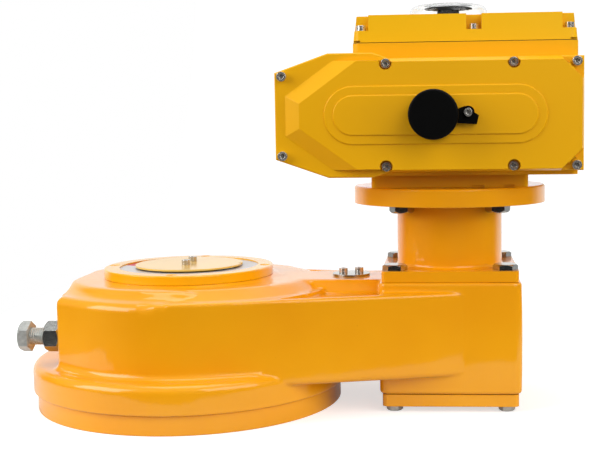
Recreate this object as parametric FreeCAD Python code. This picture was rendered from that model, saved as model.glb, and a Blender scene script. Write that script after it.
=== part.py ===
import FreeCAD, Part
import math
import os

# Quarter-turn electric actuator on a spur reduction gearbox.
#
# An electric head stands on a round-flanged adapter.  Its drive shaft turns a pinion in the
# square end of a cast gearbox.  The pinion drives an intermediate gear on a fixed pin, and the
# small pinion of that gear drives a toothed quadrant on the hollow drive sleeve.  The sleeve
# takes the valve stem from below, through the ISO 5211 F30 flange.
#
# Frame: millimetres, +Z up along the valve stem, +X from the stem towards the head, +Y to the
# rear, origin at the centre of the valve mounting face.

V = FreeCAD.Vector
X_DIR = V(1, 0, 0)
Y_DIR = V(0, 1, 0)
Z_DIR = V(0, 0, 1)
CENTRE = V(0, 0, 0)

# Valve interface, ISO 5211 F30
valve_flange_r = 175.0
valve_flange_thick = 20.9
valve_bolt_inset = 26.0
valve_bolt_count = 8
valve_bolt_r = 10.0
valve_bolt_depth = 18.5
register_inset = 60.0
register_depth = 5.0
flange_screw_inset = 10.0
flange_edge = 0.6
stem_bore_r = 36.0
stem_bore_top = 118.0
stem_key_width = 20.0
stem_key_depth = 4.9
gasket_thick = 0.6
gasket_inset = 1.6
gasket_width = 27.4

# Gear train of the gearbox
slow_module = 4.0
quadrant_full_teeth = 68
idler_pinion_teeth = 27
fast_module = 2.5
idler_gear_teeth = 67
input_pinion_teeth = 24
slow_backlash = 0.12
fast_backlash = 0.10
flank_steps = 3
quadrant_side_teeth = 10
quadrant_bottom = 58.0
quadrant_top = 101.0
rest_angle = -45.0
stop_plane = 22.0
idler_pinion_bottom = 56.5
idler_pinion_top = 102.0
idler_gear_bottom = 104.0
idler_gear_top = 119.0
input_pinion_bottom = 102.5
input_pinion_top = 120.5

# Shafts, bushes and bearings of the gearbox
running_clearance = 0.05
thread_clearance = 0.05
face_gap = 0.3
sleeve_r = 52.0
sleeve_bottom = 6.0
sleeve_top = 150.0
bush_wall = 5.0
hub_r = 66.0
hub_top = 118.0
lower_boss_r = 72.0
lower_boss_top = 42.0
lower_seal_bottom = 8.0
seal_height = 8.0
upper_bush_bottom = 118.6
upper_bush_top = 135.5
idler_pin_r = 15.0
idler_pin_bottom = 45.0
idler_bush_wall = 4.0
idler_boss_r = 26.0
idler_hub_r = 32.0
pinion_journal_r = 17.5
pinion_shaft_r = 20.0
pinion_top_r = 15.0
pinion_shaft_top = 190.0
bearing_outer_r = 36.0
bearing_width = 17.0
bearing_race = 4.5
bearing_shield_depth = 1.2
lower_bearing_bottom = 26.0
upper_bearing_bottom = 126.0

# Gearbox casting
case_flange_r = 179.6
case_flange_top = 53.3
case_flange_round = 9.0
case_wall_r = 155.0
case_wall = 10.0
arm_wall = 12.0
case_top = 134.0
case_edge_round = 10.0
arm_edge_round = 3.5
round_change_x = -5.0
case_foot_round = 7.5
case_flat_x = 126.5
case_flat_tangent = 125.0
case_flat_round = 12.0
table_top = 145.0
table_top_r = 99.0
table_cone_r = 126.0
table_cone_z = 139.6
table_side_r = 132.5
table_foot_round = 4.0
table_inset = 2.0
blend_x = 25.0
blend_top_r = 118.5
blend_top = 143.4
blend_foot_r = 141.5
dish_start_r = 170.0
dish_floor = 129.0
dish_lip = 9.0
chamber_top = 121.0
table_chamber_r = 110.0
table_chamber_top = 131.0
arm_bottom = 41.0
arm_floor = 50.0
arm_bottom_round = 6.0
spine_top_half = 40.0
spine_foot_half = 50.0
spine_top = 143.5
box_width = 150.0
box_bottom = 21.0
box_top = 144.4
box_edge_round = 6.0
box_belly = 0.9
box_swell = 3.0
box_rim_round = 3.0
arm_end_inset = 63.0
box_chamber_r = 60.0
box_floor = 45.0
bearing_lip_r = 31.0

# Stops
stop_y = 80.0
stop_z = 86.5
stop_boss_r = 18.0
stop_boss_length = 34.0
stop_nut_gap = 1.0
stop_thread_show = 15.5

# Indicator on the gearbox
ring_r = 97.5
ring_top = 155.5
ring_window_r = 80.0
ring_hole_r = 58.0
ring_web = 8.0
ring_screw_r = 88.5
ring_screw_start = 0.0
ring_screw_reach = 10.0
ring_screw_below = 0.6
ring_socket_flats = 3.0
ring_socket_floor = 0.8
ring_edge_round = 1.5
scale_thick = 1.0
scale_inner_r = 59.0
pointer_r = 62.0
pointer_bottom = 155.8
pointer_top = 157.7
pointer_boss_r = 34.0
pointer_screw_y = 17.0
pointer_screw_hold = 12.0
pointer_notch = 5.0
keeper_r = 21.5
keeper_thick = 2.2
keeper_screw_r = 9.5
keeper_turn = 20.0
keeper_screw_hold = 12.0
small_tap_depth = 14.0

# Bottom cover under the square end
cover_bottom = 7.0
cover_bolt_inset = 13.0

# Adapter between gearbox and head
adapter_plate_thick = 12.3
adapter_bolt_inset = 14.5
adapter_tube_r = 59.8
adapter_bore_r = 46.0
adapter_fillet = 4.0
adapter_neck_r = 30.0
adapter_neck_top = 152.0
adapter_spigot = 1.3
adapter_flange_r = 108.5
adapter_tube_length = 71.6
adapter_flange_thick = 19.4
adapter_flange_edge = 1.5
head_bolt_offset = 52.5
coupling_r = 34.0
coupling_bottom = 166.0
coupling_top = 236.0

# Electric head, casting and covers
head_rise = 78.3
pedestal_half_x = 85.0
pedestal_half_y = 70.0
pedestal_drop = 64.0
pedestal_round = 5.0
slit_height = 2.2
slit_depth = 3.0
first_slit_x = 327.0
first_slit_width = 14.0
second_slit_x = 362.0
second_slit_width = 12.0
rim_left = 121.0
rim_left_half = 45.4
lobe_left = 177.0
lobe_right = 224.0
lobe_half = 65.0
step_right = 241.0
rim_overhang = 3.4
rim_half = 59.0
joint_y = -101.0
rim_front_y = -112.0
pad_front_y = -123.7
head_flange_thick = 13.0
gear_case_inset = 2.5
gear_case_back_y = -67.0
facet_left = 132.0
facet_left_half = 21.0
facet_shoulder_x = 182.0
facet_shoulder_half = 57.0
facet_run = 16.0
pad_edge_run = 1.0
corner_cut = 19.4
stadium_left = 204.0
stadium_right_inset = 68.4
stadium_outer_r = 30.3
stadium_inner_r = 20.8
stadium_rise = 1.5
stadium_chamfer = 0.9
rim_chamfer = 1.2
cover_wall = 6.5
cover_pocket_depth = 9.0
cover_screw_recess_r = 6.6
cover_boss_r = 7.5
cover_boss_length = 14.0
cover_screw_hold = 11.0
cover_screw_edge = 5.7
cover_screw_left = 8.0
cover_screw_low = 3.9
cover_screw_right = 7.6
body_left = 202.0
body_right = 439.0
body_front = -95.0
body_back = 115.0
body_rise = 76.0
body_wall = 6.0
body_round = 8.0
chamber_front_y = -74.0
bulkhead_back_y = -62.0
worm_room_left = 244.0
worm_room_inset = 15.0
worm_room_back = 95.0
worm_room_drop = 46.0
deck_rise = 39.0
deck_thick = 5.0
deck_gap = 0.5
upper_room_rise = 58.0
top_cover_height = 29.5
top_cover_inset = 0.5
top_cover_draft = 3.0
top_cover_wall = 5.0
top_screw_rise = 13.0
top_screw_pocket = 16.0
top_screw_left_inset = 9.0
top_screw_middle = 330.0
top_screw_right_inset = 9.0
top_screw_inset = 9.5
top_screw_hold = 14.0
top_tap_depth = 18.0
top_boss_r = 8.5
seam_notch = 8.0
seam_notch_height = 2.0
seam_notch_depth = 5.0
entry_r = 10.0
entry_drop = 20.0
entry_left_inset = 60.0
entry_right_inset = 97.0
entry_boss_r = 16.0
entry_boss_length = 5.0

# Sight dome and the indicator inside it
dome_flange_r = 48.5
dome_flange_thick = 3.0
dome_r = 44.0
dome_height = 19.1
dome_edge = 9.0
dome_crown = 1.7
dome_wall = 1.3
dome_hole_r = 33.0
dial_r = 26.9
dial_rise = 14.0
dial_thick = 3.1
dial_edge = 0.9
dial_stem_r = 12.3

# Drive train in the head
train_module = 1.75
train_backlash = 0.10
motor_gear_teeth = 40
hand_gear_teeth = 56
worm_gear_teeth = 44
train_gear_front = -96.0
train_gear_face = 12.0
worm_module = 3.0
wheel_teeth = 36
worm_pitch_r = 17.0
wheel_half_face = 10.0
wheel_hub_r = 32.0
wheel_hub_drop = 16.0
head_shaft_r = 20.0
head_shaft_bottom = 200.0
head_bush_wall = 4.0
upper_shaft_r = 12.0
upper_shaft_rise = 82.0
shaft_shoulder_rise = 19.0
motor_r = 36.0
motor_front_y = -72.0
motor_back_y = 46.0
motor_room_gap = 1.0
motor_barrel_wall = 9.0
motor_shaft_r = 8.0
motor_seat_width = 6.0
motor_groove_depth = 1.5
motor_groove_front = 40.0
motor_groove_back = 30.0
motor_shaft_end = 10.0
worm_journal_r = 7.5
worm_bearing_r = 17.5
worm_bearing_width = 11.0
worm_half_length = 32.0
hand_shaft_r = 8.0
hand_shaft_front = -141.0
hand_bush_r = 12.0
hand_boss_r = 20.0
hand_boss_length = 9.0
front_bush_length = 14.0
bush_boss_wall = 5.0
hand_socket_flats = 8.0
hand_socket_depth = 10.0

# Rubber cap of the hand drive
cap_r = 25.5
cap_length = 28.0
cap_wall = 4.5
strap_screw_x = 35.3
strap_screw_z = 2.0
strap_eye_r = 6.6
strap_post_r = 5.5
strap_post_height = 3.0
strap_thick = 4.0
strap_tab = ((20.0, -8.6), (44.1, -10.4), (46.4, -1.3), (39.8, 3.1), (32.2, 8.3), (20.0, 4.0))

# Switch gear in the head
cam_r = 21.0
cam_thick = 5.0
cam_rise = 16.0
cam_pitch = 10.0
cam_flat = 4.0
switch_length = 28.0
switch_depth = 11.0
switch_height = 8.0
switch_gap = 0.6
bracket_thick = 3.0
bracket_foot = 12.0

# Screws and bolts: thread diameter, head size across, head height
M5_CAP = (5.0, 8.5, 5.0)
M6_CAP = (6.0, 10.0, 6.0)
M8_CAP = (8.0, 13.0, 8.0)
M10_HEX = (10.0, 16.0, 6.4)
M16_HEX = (16.0, 24.0, 6.5)
M20_HEX = (20.0, 30.0, 12.5)
m20_nut_height = 18.0
turned_share = 0.48
socket_share = 0.8
socket_depth_share = 0.5
hole_play = 0.5
thread_reach = 20.0

# Sizes that follow from the ones above
quadrant_r = slow_module * quadrant_full_teeth / 2
idler_pinion_r = slow_module * idler_pinion_teeth / 2
idler_gear_r = fast_module * idler_gear_teeth / 2
input_pinion_r = fast_module * input_pinion_teeth / 2
idler_x = quadrant_r + idler_pinion_r
head_x = idler_x + idler_gear_r + input_pinion_r
box_left = head_x - box_width / 2
box_right = head_x + box_width / 2
case_floor = valve_flange_thick + gasket_thick
valve_pcd = 2 * (valve_flange_r - valve_bolt_inset)
flange_screw_pcd = 2 * (valve_flange_r - flange_screw_inset)
register_r = valve_flange_r - register_inset
case_half = box_width / 2 + box_swell
arm_end_x = box_right - arm_end_inset + box_swell
cover_bolt_offset = box_width / 2 - cover_bolt_inset
adapter_bolt_offset = box_width / 2 - adapter_bolt_inset
adapter_plate_top = box_top + adapter_plate_thick
adapter_flange_bottom = adapter_plate_top + adapter_tube_length
adapter_flange_top = adapter_flange_bottom + adapter_flange_thick
head_mid_z = adapter_flange_top + head_rise
rim_right = body_right + rim_overhang
stadium_right = rim_right - stadium_right_inset
worm_room_right = body_right - worm_room_inset
top_screw_x = (body_left + top_screw_left_inset, top_screw_middle, body_right - top_screw_right_inset)
entry_x = (body_left + entry_left_inset, body_right - entry_right_inset)
pedestal_top = head_mid_z - pedestal_drop
worm_room_floor = head_mid_z - worm_room_drop
shaft_shoulder_z = head_mid_z + shaft_shoulder_rise
deck_bottom = head_mid_z + deck_rise
cam_low_z = deck_bottom + cam_rise
upper_room_floor = head_mid_z + upper_room_rise
upper_shaft_top = head_mid_z + upper_shaft_rise
body_top = head_mid_z + body_rise
entry_z = body_top - entry_drop
top_screw_seat = body_top + top_screw_rise
top_cover_top = body_top + top_cover_height
dome_top = top_cover_top + dome_height
dial_bottom = top_cover_top + dial_rise
lower_bush_bottom = lower_seal_bottom + seal_height + face_gap
upper_seal_bottom = upper_bush_top + face_gap
bush_outer_r = sleeve_r + bush_wall
wheel_r = worm_module * wheel_teeth / 2
worm_x = head_x + wheel_r + worm_pitch_r
motor_gear_r = train_module * motor_gear_teeth / 2
hand_gear_r = train_module * hand_gear_teeth / 2
worm_gear_r = train_module * worm_gear_teeth / 2
hand_x = worm_x - worm_gear_r - hand_gear_r
motor_x = hand_x - hand_gear_r - motor_gear_r
train_gear_back = train_gear_front + train_gear_face
stadium_front_y = pad_front_y - 2 * stadium_rise
cap_back_y = stadium_front_y - face_gap


# Shape helpers

def cylinder(radius, low, high, x=0.0, y=0.0):
    """Upright cylinder between two heights."""
    return Part.makeCylinder(radius, high - low, V(x, y, low), Z_DIR)


def bar(radius, front, back, x, z):
    """Cylinder along Y between two depths."""
    return Part.makeCylinder(radius, back - front, V(x, front, z), Y_DIR)


def ring(outer, inner, low, high, x=0.0, y=0.0):
    """Upright tube."""
    return cylinder(outer, low, high, x, y).cut(cylinder(inner, low - 1, high + 1, x, y))


def tube(outer, inner, front, back, x, z):
    """Tube along Y."""
    return bar(outer, front, back, x, z).cut(bar(inner, front - 1, back + 1, x, z))


def block(x0, x1, y0, y1, z0, z1):
    """Box between two corners."""
    return Part.makeBox(x1 - x0, y1 - y0, z1 - z0, V(x0, y0, z0))


def upright_edges(shape):
    """Straight edges that run along Z."""
    found = []
    for edge in shape.Edges:
        box = edge.BoundBox
        if box.ZLength > 0.5 and box.XLength < 0.01 and box.YLength < 0.01:
            found.append(edge)
    return found


def level_edges(shape, height, keep=None):
    """Edges that lie wholly at one height, and pass the keep test if there is one."""
    found = []
    for edge in shape.Edges:
        box = edge.BoundBox
        if abs(box.ZMin - height) < 0.01 and abs(box.ZMax - height) < 0.01:
            if keep is None or keep(edge):
                found.append(edge)
    return found


def soft_block(x0, x1, y0, y1, z0, z1, radius):
    """Box whose upright edges are rounded."""
    body = block(x0, x1, y0, y1, z0, z1)
    return body.makeFillet(radius, upright_edges(body))


def prism(points, low, high):
    """Upright prism over a closed outline of (x, y) points."""
    outline = Part.makePolygon([V(x, y, low) for x, y in points + points[:1]])
    return Part.Face(outline).extrude(V(0, 0, high - low))


def slab(points, front, back):
    """Prism along Y over a closed outline of (x, z) points."""
    outline = Part.makePolygon([V(x, front, z) for x, z in points + points[:1]])
    return Part.Face(outline).extrude(V(0, back - front, 0))


def revolve(edges, x=0.0, y=0.0):
    """Solid of revolution about an upright axis from edges in the XZ plane."""
    face = Part.Face(Part.Wire(edges))
    solid = face.revolve(CENTRE, Z_DIR, 360)
    solid.translate(V(x, y, 0))
    return solid


def line(r0, z0, r1, z1):
    """Straight edge in the XZ plane."""
    return Part.LineSegment(V(r0, 0, z0), V(r1, 0, z1)).toShape()


def quarter(r0, z0, r1, z1, centre_r, centre_z):
    """Round edge in the XZ plane from one point to another about a centre, the short way."""
    radius = math.hypot(r0 - centre_r, z0 - centre_z)
    away = V((r0 + r1) / 2 - centre_r, 0, (z0 + z1) / 2 - centre_z)
    away.normalize()
    middle = V(centre_r, 0, centre_z) + away * radius
    return Part.Arc(V(r0, 0, z0), middle, V(r1, 0, z1)).toShape()


def fuse_all(shapes):
    """One solid out of several that touch or overlap."""
    return shapes[0].fuse(shapes[1:]).removeSplitter()


def cut_all(body, tools):
    """The body with every tool taken out of it."""
    return body.cut(tools)


def inset(points, distance):
    """Closed outline moved inwards by one distance; the points run anticlockwise."""
    moved = []
    count = len(points)
    for k in range(count):
        (ax, ay), (bx, by), (cx, cy) = points[k - 1], points[k], points[(k + 1) % count]
        first = unit(bx - ax, by - ay)
        second = unit(cx - bx, cy - by)
        turn = first[0] * second[1] - first[1] * second[0]
        bend = 1 + first[0] * second[0] + first[1] * second[1]
        slide = distance * turn / bend
        moved.append((bx - first[1] * distance - first[0] * slide,
                      by + first[0] * distance - first[1] * slide))
    return moved


def unit(x, y):
    length = math.hypot(x, y)
    return x / length, y / length


def corners(offset):
    """Four corners of a square bolt pattern."""
    return [(sx * offset, sy * offset) for sx in (-1, 1) for sy in (-1, 1)]


def on_circle(radius, count, start=0.0):
    """Evenly spaced points on a circle round the origin."""
    angles = [math.radians(start + 360.0 * k / count) for k in range(count)]
    return [(radius * math.cos(a), radius * math.sin(a)) for a in angles]


def tap_r(size):
    """Radius of the threaded hole for a screw."""
    return size[0] / 2 + thread_clearance


def hole_r(size):
    """Radius of the clearance hole for a screw."""
    return size[0] / 2 + hole_play


def hex_prism(across_flats, height):
    """Hexagonal prism standing on the origin, two corners on the X axis."""
    return prism(on_circle(across_flats / math.sqrt(3), 6), 0, height)


def hex_head(size):
    """Hexagonal bolt head with its bearing face down and its top corners turned off."""
    _, flats, height = size
    wide = flats / math.sqrt(3) + height
    dome = Part.makeCone(wide, flats * turned_share, height)
    return hex_prism(flats, height).common(dome)


def hex_bolt(size, length):
    """Bolt with the head above the origin and the shank below it."""
    shank = Part.makeCylinder(size[0] / 2, length, V(0, 0, -length))
    return fuse_all([hex_head(size), shank])


def cap_screw(size, length):
    """Socket head screw with the head above the origin and the shank below it."""
    thread, head, height = size
    shank = Part.makeCylinder(thread / 2, length, V(0, 0, -length))
    body = fuse_all([Part.makeCylinder(head / 2, height), shank])
    socket = hex_prism(thread * socket_share, height)
    socket.translate(V(0, 0, height * socket_depth_share))
    return body.cut(socket)


def hex_nut(size, height):
    """Nut standing on the origin, with both ends turned off and a threaded bore."""
    thread, flats, _ = size
    wide = flats / math.sqrt(3) + height
    upper = Part.makeCone(wide, flats * turned_share, height)
    lower = Part.makeCone(flats * turned_share, wide, height)
    body = hex_prism(flats, height).common(upper).common(lower)
    return body.cut(Part.makeCylinder(thread / 2 + thread_clearance, height + 2, V(0, 0, -1)))


def placed(shape, x, y, z, tip=None):
    """Copy with its +Z pointed along tip, then moved."""
    copy = shape.copy()
    if tip is not None:
        copy.Placement = FreeCAD.Placement(CENTRE, FreeCAD.Rotation(Z_DIR, tip))
    copy.translate(V(x, y, z))
    return copy


def facing_front(shape, x, y, z):
    """Copy tipped about X so that its +Z points to the front and its +Y points up."""
    copy = shape.copy()
    copy.rotate(CENTRE, X_DIR, 90)
    copy.translate(V(x, y, z))
    return copy


def group(shapes):
    """Several separate solids in one node."""
    return Part.makeCompound(shapes)


# Gears

def involute(angle):
    return math.tan(angle) - angle


def tooth_side(module, teeth, thinning):
    """Half angles and radii of one tooth side, from the root to the tip."""
    pitch_r = module * teeth / 2
    pressure = math.radians(20)
    base_r = pitch_r * math.cos(pressure)
    root_r = pitch_r - 1.25 * module
    tip_r = pitch_r + module
    half = math.pi / (2 * teeth) - thinning / pitch_r
    low_r = max(base_r, root_r) + 0.01
    radii = [low_r + (tip_r - low_r) * k / flank_steps for k in range(flank_steps + 1)]
    side = [(half + involute(pressure) - involute(math.acos(base_r / r)), r) for r in radii]
    return [(side[0][0], root_r)] + side


def tooth_points(module, teeth, thinning, phase, first, last):
    """Outline points of teeth first to last, with tooth 0 centred on the phase angle."""
    side = tooth_side(module, teeth, thinning)
    points = []
    for k in range(first, last + 1):
        centre = math.radians(phase) + 2 * math.pi * k / teeth
        for half, r in side:
            points.append((r * math.cos(centre - half), r * math.sin(centre - half)))
        for half, r in reversed(side):
            points.append((r * math.cos(centre + half), r * math.sin(centre + half)))
    return points


def spur_gear(module, teeth, thinning, face, bore_r, phase):
    """Spur gear standing on the origin."""
    body = prism(tooth_points(module, teeth, thinning, phase, 0, teeth - 1), 0, face)
    return body.cut(Part.makeCylinder(bore_r, face + 2, V(0, 0, -1)))


def bearing(inner, outer, width, race):
    """Shielded ball bearing standing on the origin: both rings with the shields sunk between."""
    body = Part.makeCylinder(outer, width).cut(Part.makeCylinder(inner, width + 2, V(0, 0, -1)))
    groove = ring(outer - race, inner + race, 0, bearing_shield_depth)
    upper = groove.copy()
    upper.translate(V(0, 0, width - bearing_shield_depth))
    return body.cut([groove, upper])


# Gearbox casting

def case_touch(angle):
    """Point on the round wall at an angle from +X, in degrees."""
    turn = math.radians(angle)
    return case_wall_r * math.cos(turn), case_wall_r * math.sin(turn)


def arm_angle():
    """Angle at which the side of the arm leaves the round wall, in degrees."""
    distance = math.hypot(arm_end_x, case_half)
    return math.degrees(math.atan2(case_half, arm_end_x) + math.acos(case_wall_r / distance))


def flat_corner_y():
    """Half width of the flat end face, where the tangent from the round wall meets it."""
    turn = math.radians(case_flat_tangent)
    return (case_wall_r + case_flat_x * math.cos(turn)) / math.sin(turn)


def case_outline():
    """Edges of the plan outline: flat end, round wall, and arm sides into the square end."""
    corner_y = flat_corner_y()
    flat_y = corner_y - case_flat_round * math.tan(math.radians((180 - case_flat_tangent) / 2))
    centre_x = -case_flat_x + case_flat_round
    turn = math.radians(case_flat_tangent)
    half_turn = math.radians((180 + case_flat_tangent) / 2)
    wall_x, wall_y = case_touch(case_flat_tangent)
    mid_x, mid_y = case_touch((case_flat_tangent + arm_angle()) / 2)
    arm_x, arm_y = case_touch(arm_angle())
    half = []
    for side in (-1, 1):
        rim = [V(-case_flat_x, 0, 0), V(-case_flat_x, side * flat_y, 0),
               V(centre_x + case_flat_round * math.cos(half_turn),
                 side * (flat_y + case_flat_round * math.sin(half_turn)), 0),
               V(centre_x + case_flat_round * math.cos(turn),
                 side * (flat_y + case_flat_round * math.sin(turn)), 0),
               V(wall_x, side * wall_y, 0), V(mid_x, side * mid_y, 0), V(arm_x, side * arm_y, 0),
               V(arm_end_x, side * case_half, 0)]
        half.append([Part.LineSegment(rim[0], rim[1]).toShape(),
                     Part.Arc(rim[1], rim[2], rim[3]).toShape(),
                     Part.LineSegment(rim[3], rim[4]).toShape(),
                     Part.Arc(rim[4], rim[5], rim[6]).toShape(),
                     Part.LineSegment(rim[6], rim[7]).toShape()])
    end = Part.LineSegment(V(arm_end_x, -case_half, 0), V(arm_end_x, case_half, 0))
    return half[0], half[1], end.toShape()


def case_prism(low, high):
    """Solid over the whole plan outline."""
    front, rear, end = case_outline()
    face = Part.Face(Part.Wire(Part.__sortEdges__(front + rear + [end])))
    solid = face.extrude(V(0, 0, high - low))
    solid.translate(V(0, 0, low))
    return solid.removeSplitter()


def case_walls():
    """Upright walls up to the top face, with edges rounded more at the round end than on the arm."""
    whole = case_prism(case_flange_top - 1, case_top)
    reach = case_flange_r
    left = whole.common(block(-reach, round_change_x, -reach, reach, 0, case_top + 1))
    right = whole.common(block(round_change_x, box_right, -reach, reach, 0, case_top + 1))
    at_left = (lambda edge: edge.CenterOfMass.x < round_change_x - 1)
    at_right = (lambda edge: round_change_x + 1 < edge.CenterOfMass.x < arm_end_x - 1)
    return [left.makeFillet(case_edge_round, level_edges(left, case_top, at_left)),
            right.makeFillet(arm_edge_round, level_edges(right, case_top, at_right))]


def case_flange():
    """Round flange that meets the base flange, its upper edge rounded."""
    round_z = case_flange_top - case_flange_round
    round_r = case_flange_r - case_flange_round
    return revolve([line(0, case_floor, case_flange_r, case_floor),
                    line(case_flange_r, case_floor, case_flange_r, round_z),
                    quarter(case_flange_r, round_z, round_r, case_flange_top, round_r, round_z),
                    line(round_r, case_flange_top, 0, case_flange_top),
                    line(0, case_flange_top, 0, case_floor)])


def case_foot():
    """Concave fillet where the upright wall stands on the flange."""
    front, rear, _ = case_outline()
    arm_x, arm_y = case_touch(arm_angle())
    path = []
    for side, edges in ((-1, front), (1, rear)):
        reach = V(arm_end_x, side * case_half, 0) - V(arm_x, side * arm_y, 0)
        reach.normalize()
        start = V(arm_x, side * arm_y, 0)
        path += edges[:4] + [Part.LineSegment(start, start + reach * case_wall_r).toShape()]
    spine = Part.Wire(Part.__sortEdges__(path))
    spine.translate(V(0, 0, case_flange_top))
    first = spine.OrderedVertexes[0].Point
    along = spine.OrderedVertexes[1].Point - first
    along.normalize()
    side = along.cross(Z_DIR)
    if (first + side).Length < first.Length:
        side = side * -1
    inner = side * -1.0
    low_in = first + inner
    low_out = first + side * case_foot_round
    high_out = first + Z_DIR * case_foot_round
    high_in = first + inner + Z_DIR * case_foot_round
    centre = first + side * case_foot_round + Z_DIR * case_foot_round
    middle = centre - (side + Z_DIR) * (case_foot_round * math.sqrt(0.5))
    sunk = Z_DIR * -1.0
    profile = Part.Wire([Part.LineSegment(low_in + sunk, low_out + sunk).toShape(),
                         Part.LineSegment(low_out + sunk, low_out).toShape(),
                         Part.Arc(low_out, middle, high_out).toShape(),
                         Part.LineSegment(high_out, high_in).toShape(),
                         Part.LineSegment(high_in, low_in + sunk).toShape()])
    foot = spine.makePipeShell([profile], True, False)
    return foot.common(cylinder(case_flange_r - case_flange_round, case_floor, case_top))


def case_table():
    """Raised round table that carries the indicator ring, with a rounded side and a hollow foot."""
    base = chamber_top + 1
    side_z = case_top + table_foot_round
    foot_r = table_side_r + table_foot_round
    edge_r = table_side_r - table_cone_r
    solid = revolve([line(0, base, foot_r, base),
                     line(foot_r, base, foot_r, case_top),
                     quarter(foot_r, case_top, table_side_r, side_z, foot_r, side_z),
                     quarter(table_side_r, side_z, table_cone_r, table_cone_z, table_side_r - edge_r,
                             side_z - edge_r),
                     line(table_cone_r, table_cone_z, table_top_r, table_top),
                     line(table_top_r, table_top, 0, table_top),
                     line(0, table_top, 0, base)])
    left = -case_flat_x + table_inset
    slope = table_top + 1 - (case_top - table_foot_round)
    high = table_top + 1
    limit = slab([(left, base), (case_wall_r, base), (case_wall_r, high), (left + slope, high),
                  (left, case_top - table_foot_round)], -case_wall_r, case_wall_r)
    return solid.common(limit)


def case_blend():
    """Low cone that leads the table down onto the arm and along the spine."""
    base = chamber_top + 1
    return revolve([line(0, base, blend_foot_r, base),
                    line(blend_foot_r, base, blend_foot_r, case_top - 1),
                    line(blend_foot_r, case_top - 1, blend_top_r, blend_top),
                    line(blend_top_r, blend_top, 0, blend_top),
                    line(0, blend_top, 0, base)], blend_x)


def case_dishes():
    """Shallow dishes in the top of the arm, on both sides of the spine."""
    arm_x, arm_y = case_touch(arm_angle())
    outline = [(0.0, -arm_y), (arm_x, -arm_y), (arm_end_x, -case_half), (arm_end_x, case_half),
               (arm_x, arm_y), (0.0, arm_y)]
    floor = prism(inset(outline, dish_lip), dish_floor, case_top + 1)
    floor = floor.common(block(0, box_left, -case_wall_r, case_wall_r, dish_floor, case_top + 1))
    return floor.cut(cylinder(dish_start_r, dish_floor - 1, case_top + 2))


def case_arm():
    """Lower part of the arm, between the round end and the square end."""
    arm_x, arm_y = case_touch(arm_angle())
    points = [(arm_x, -arm_y), (arm_end_x, -case_half), (arm_end_x, case_half), (arm_x, arm_y)]
    body = prism(points, arm_bottom, case_flange_top + case_foot_round)
    outer = (lambda edge: abs(edge.CenterOfMass.y) > case_half)
    return body.makeFillet(arm_bottom_round, level_edges(body, arm_bottom, outer))


def case_spine():
    """Raised rib over the arm, from the table to the square end."""
    points = [V(0, -spine_foot_half, chamber_top + 1), V(0, spine_foot_half, chamber_top + 1),
              V(0, spine_foot_half, dish_floor), V(0, spine_top_half, spine_top),
              V(0, -spine_top_half, spine_top), V(0, -spine_foot_half, dish_floor)]
    face = Part.Face(Part.makePolygon(points + points[:1]))
    return face.extrude(V(box_left + box_edge_round, 0, 0))


def case_box():
    """Square end under the adapter, a little wider than the plates, with a slightly bellied end wall."""
    left = box_left - box_swell
    right = box_right + box_swell
    mid_z = (box_bottom + box_top) / 2
    edges = [Part.LineSegment(V(left, -case_half, box_bottom), V(right, -case_half, box_bottom)),
             Part.Arc(V(right, -case_half, box_bottom), V(right + box_belly, -case_half, mid_z),
                      V(right, -case_half, box_top)),
             Part.LineSegment(V(right, -case_half, box_top), V(left, -case_half, box_top)),
             Part.LineSegment(V(left, -case_half, box_top), V(left, -case_half, box_bottom))]
    body = Part.Face(Part.Wire([e.toShape() for e in edges])).extrude(V(0, 2 * case_half, 0))
    tall = [e for e in body.Edges if e.BoundBox.ZLength > box_top - box_bottom - 1]
    body = body.makeFillet(box_edge_round + box_swell, tall)
    return body.makeFillet(box_rim_round, level_edges(body, box_bottom) + level_edges(body, box_top))


def case_chamber():
    """Space inside the gearbox: round end, arm and square end."""
    inner_r = case_wall_r - case_wall
    chamber = cylinder(inner_r, case_floor - 1, chamber_top)
    keep = block(-case_flat_x + case_wall, case_wall_r, -case_wall_r, case_wall_r, 0, table_top)
    chamber = chamber.common(keep)
    high = ring(table_chamber_r, bush_outer_r + case_wall, chamber_top - 1, table_chamber_top)
    arm_x, arm_y = case_touch(arm_angle())
    outline = [(0.0, -arm_y), (arm_x, -arm_y), (arm_end_x, -case_half), (arm_end_x, case_half),
               (arm_x, arm_y), (0.0, arm_y)]
    arm = prism(inset(outline, arm_wall), arm_floor, chamber_top)
    arm = arm.common(block(0, box_left + box_width / 8, -case_wall_r, case_wall_r, arm_floor, chamber_top))
    gear_room = cylinder(idler_gear_r + fast_module + 2.8, arm_floor, chamber_top, idler_x)
    box_room = cylinder(box_chamber_r, box_floor, chamber_top + 1, head_x)
    return fuse_all([chamber, arm, gear_room, box_room]), high


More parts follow.
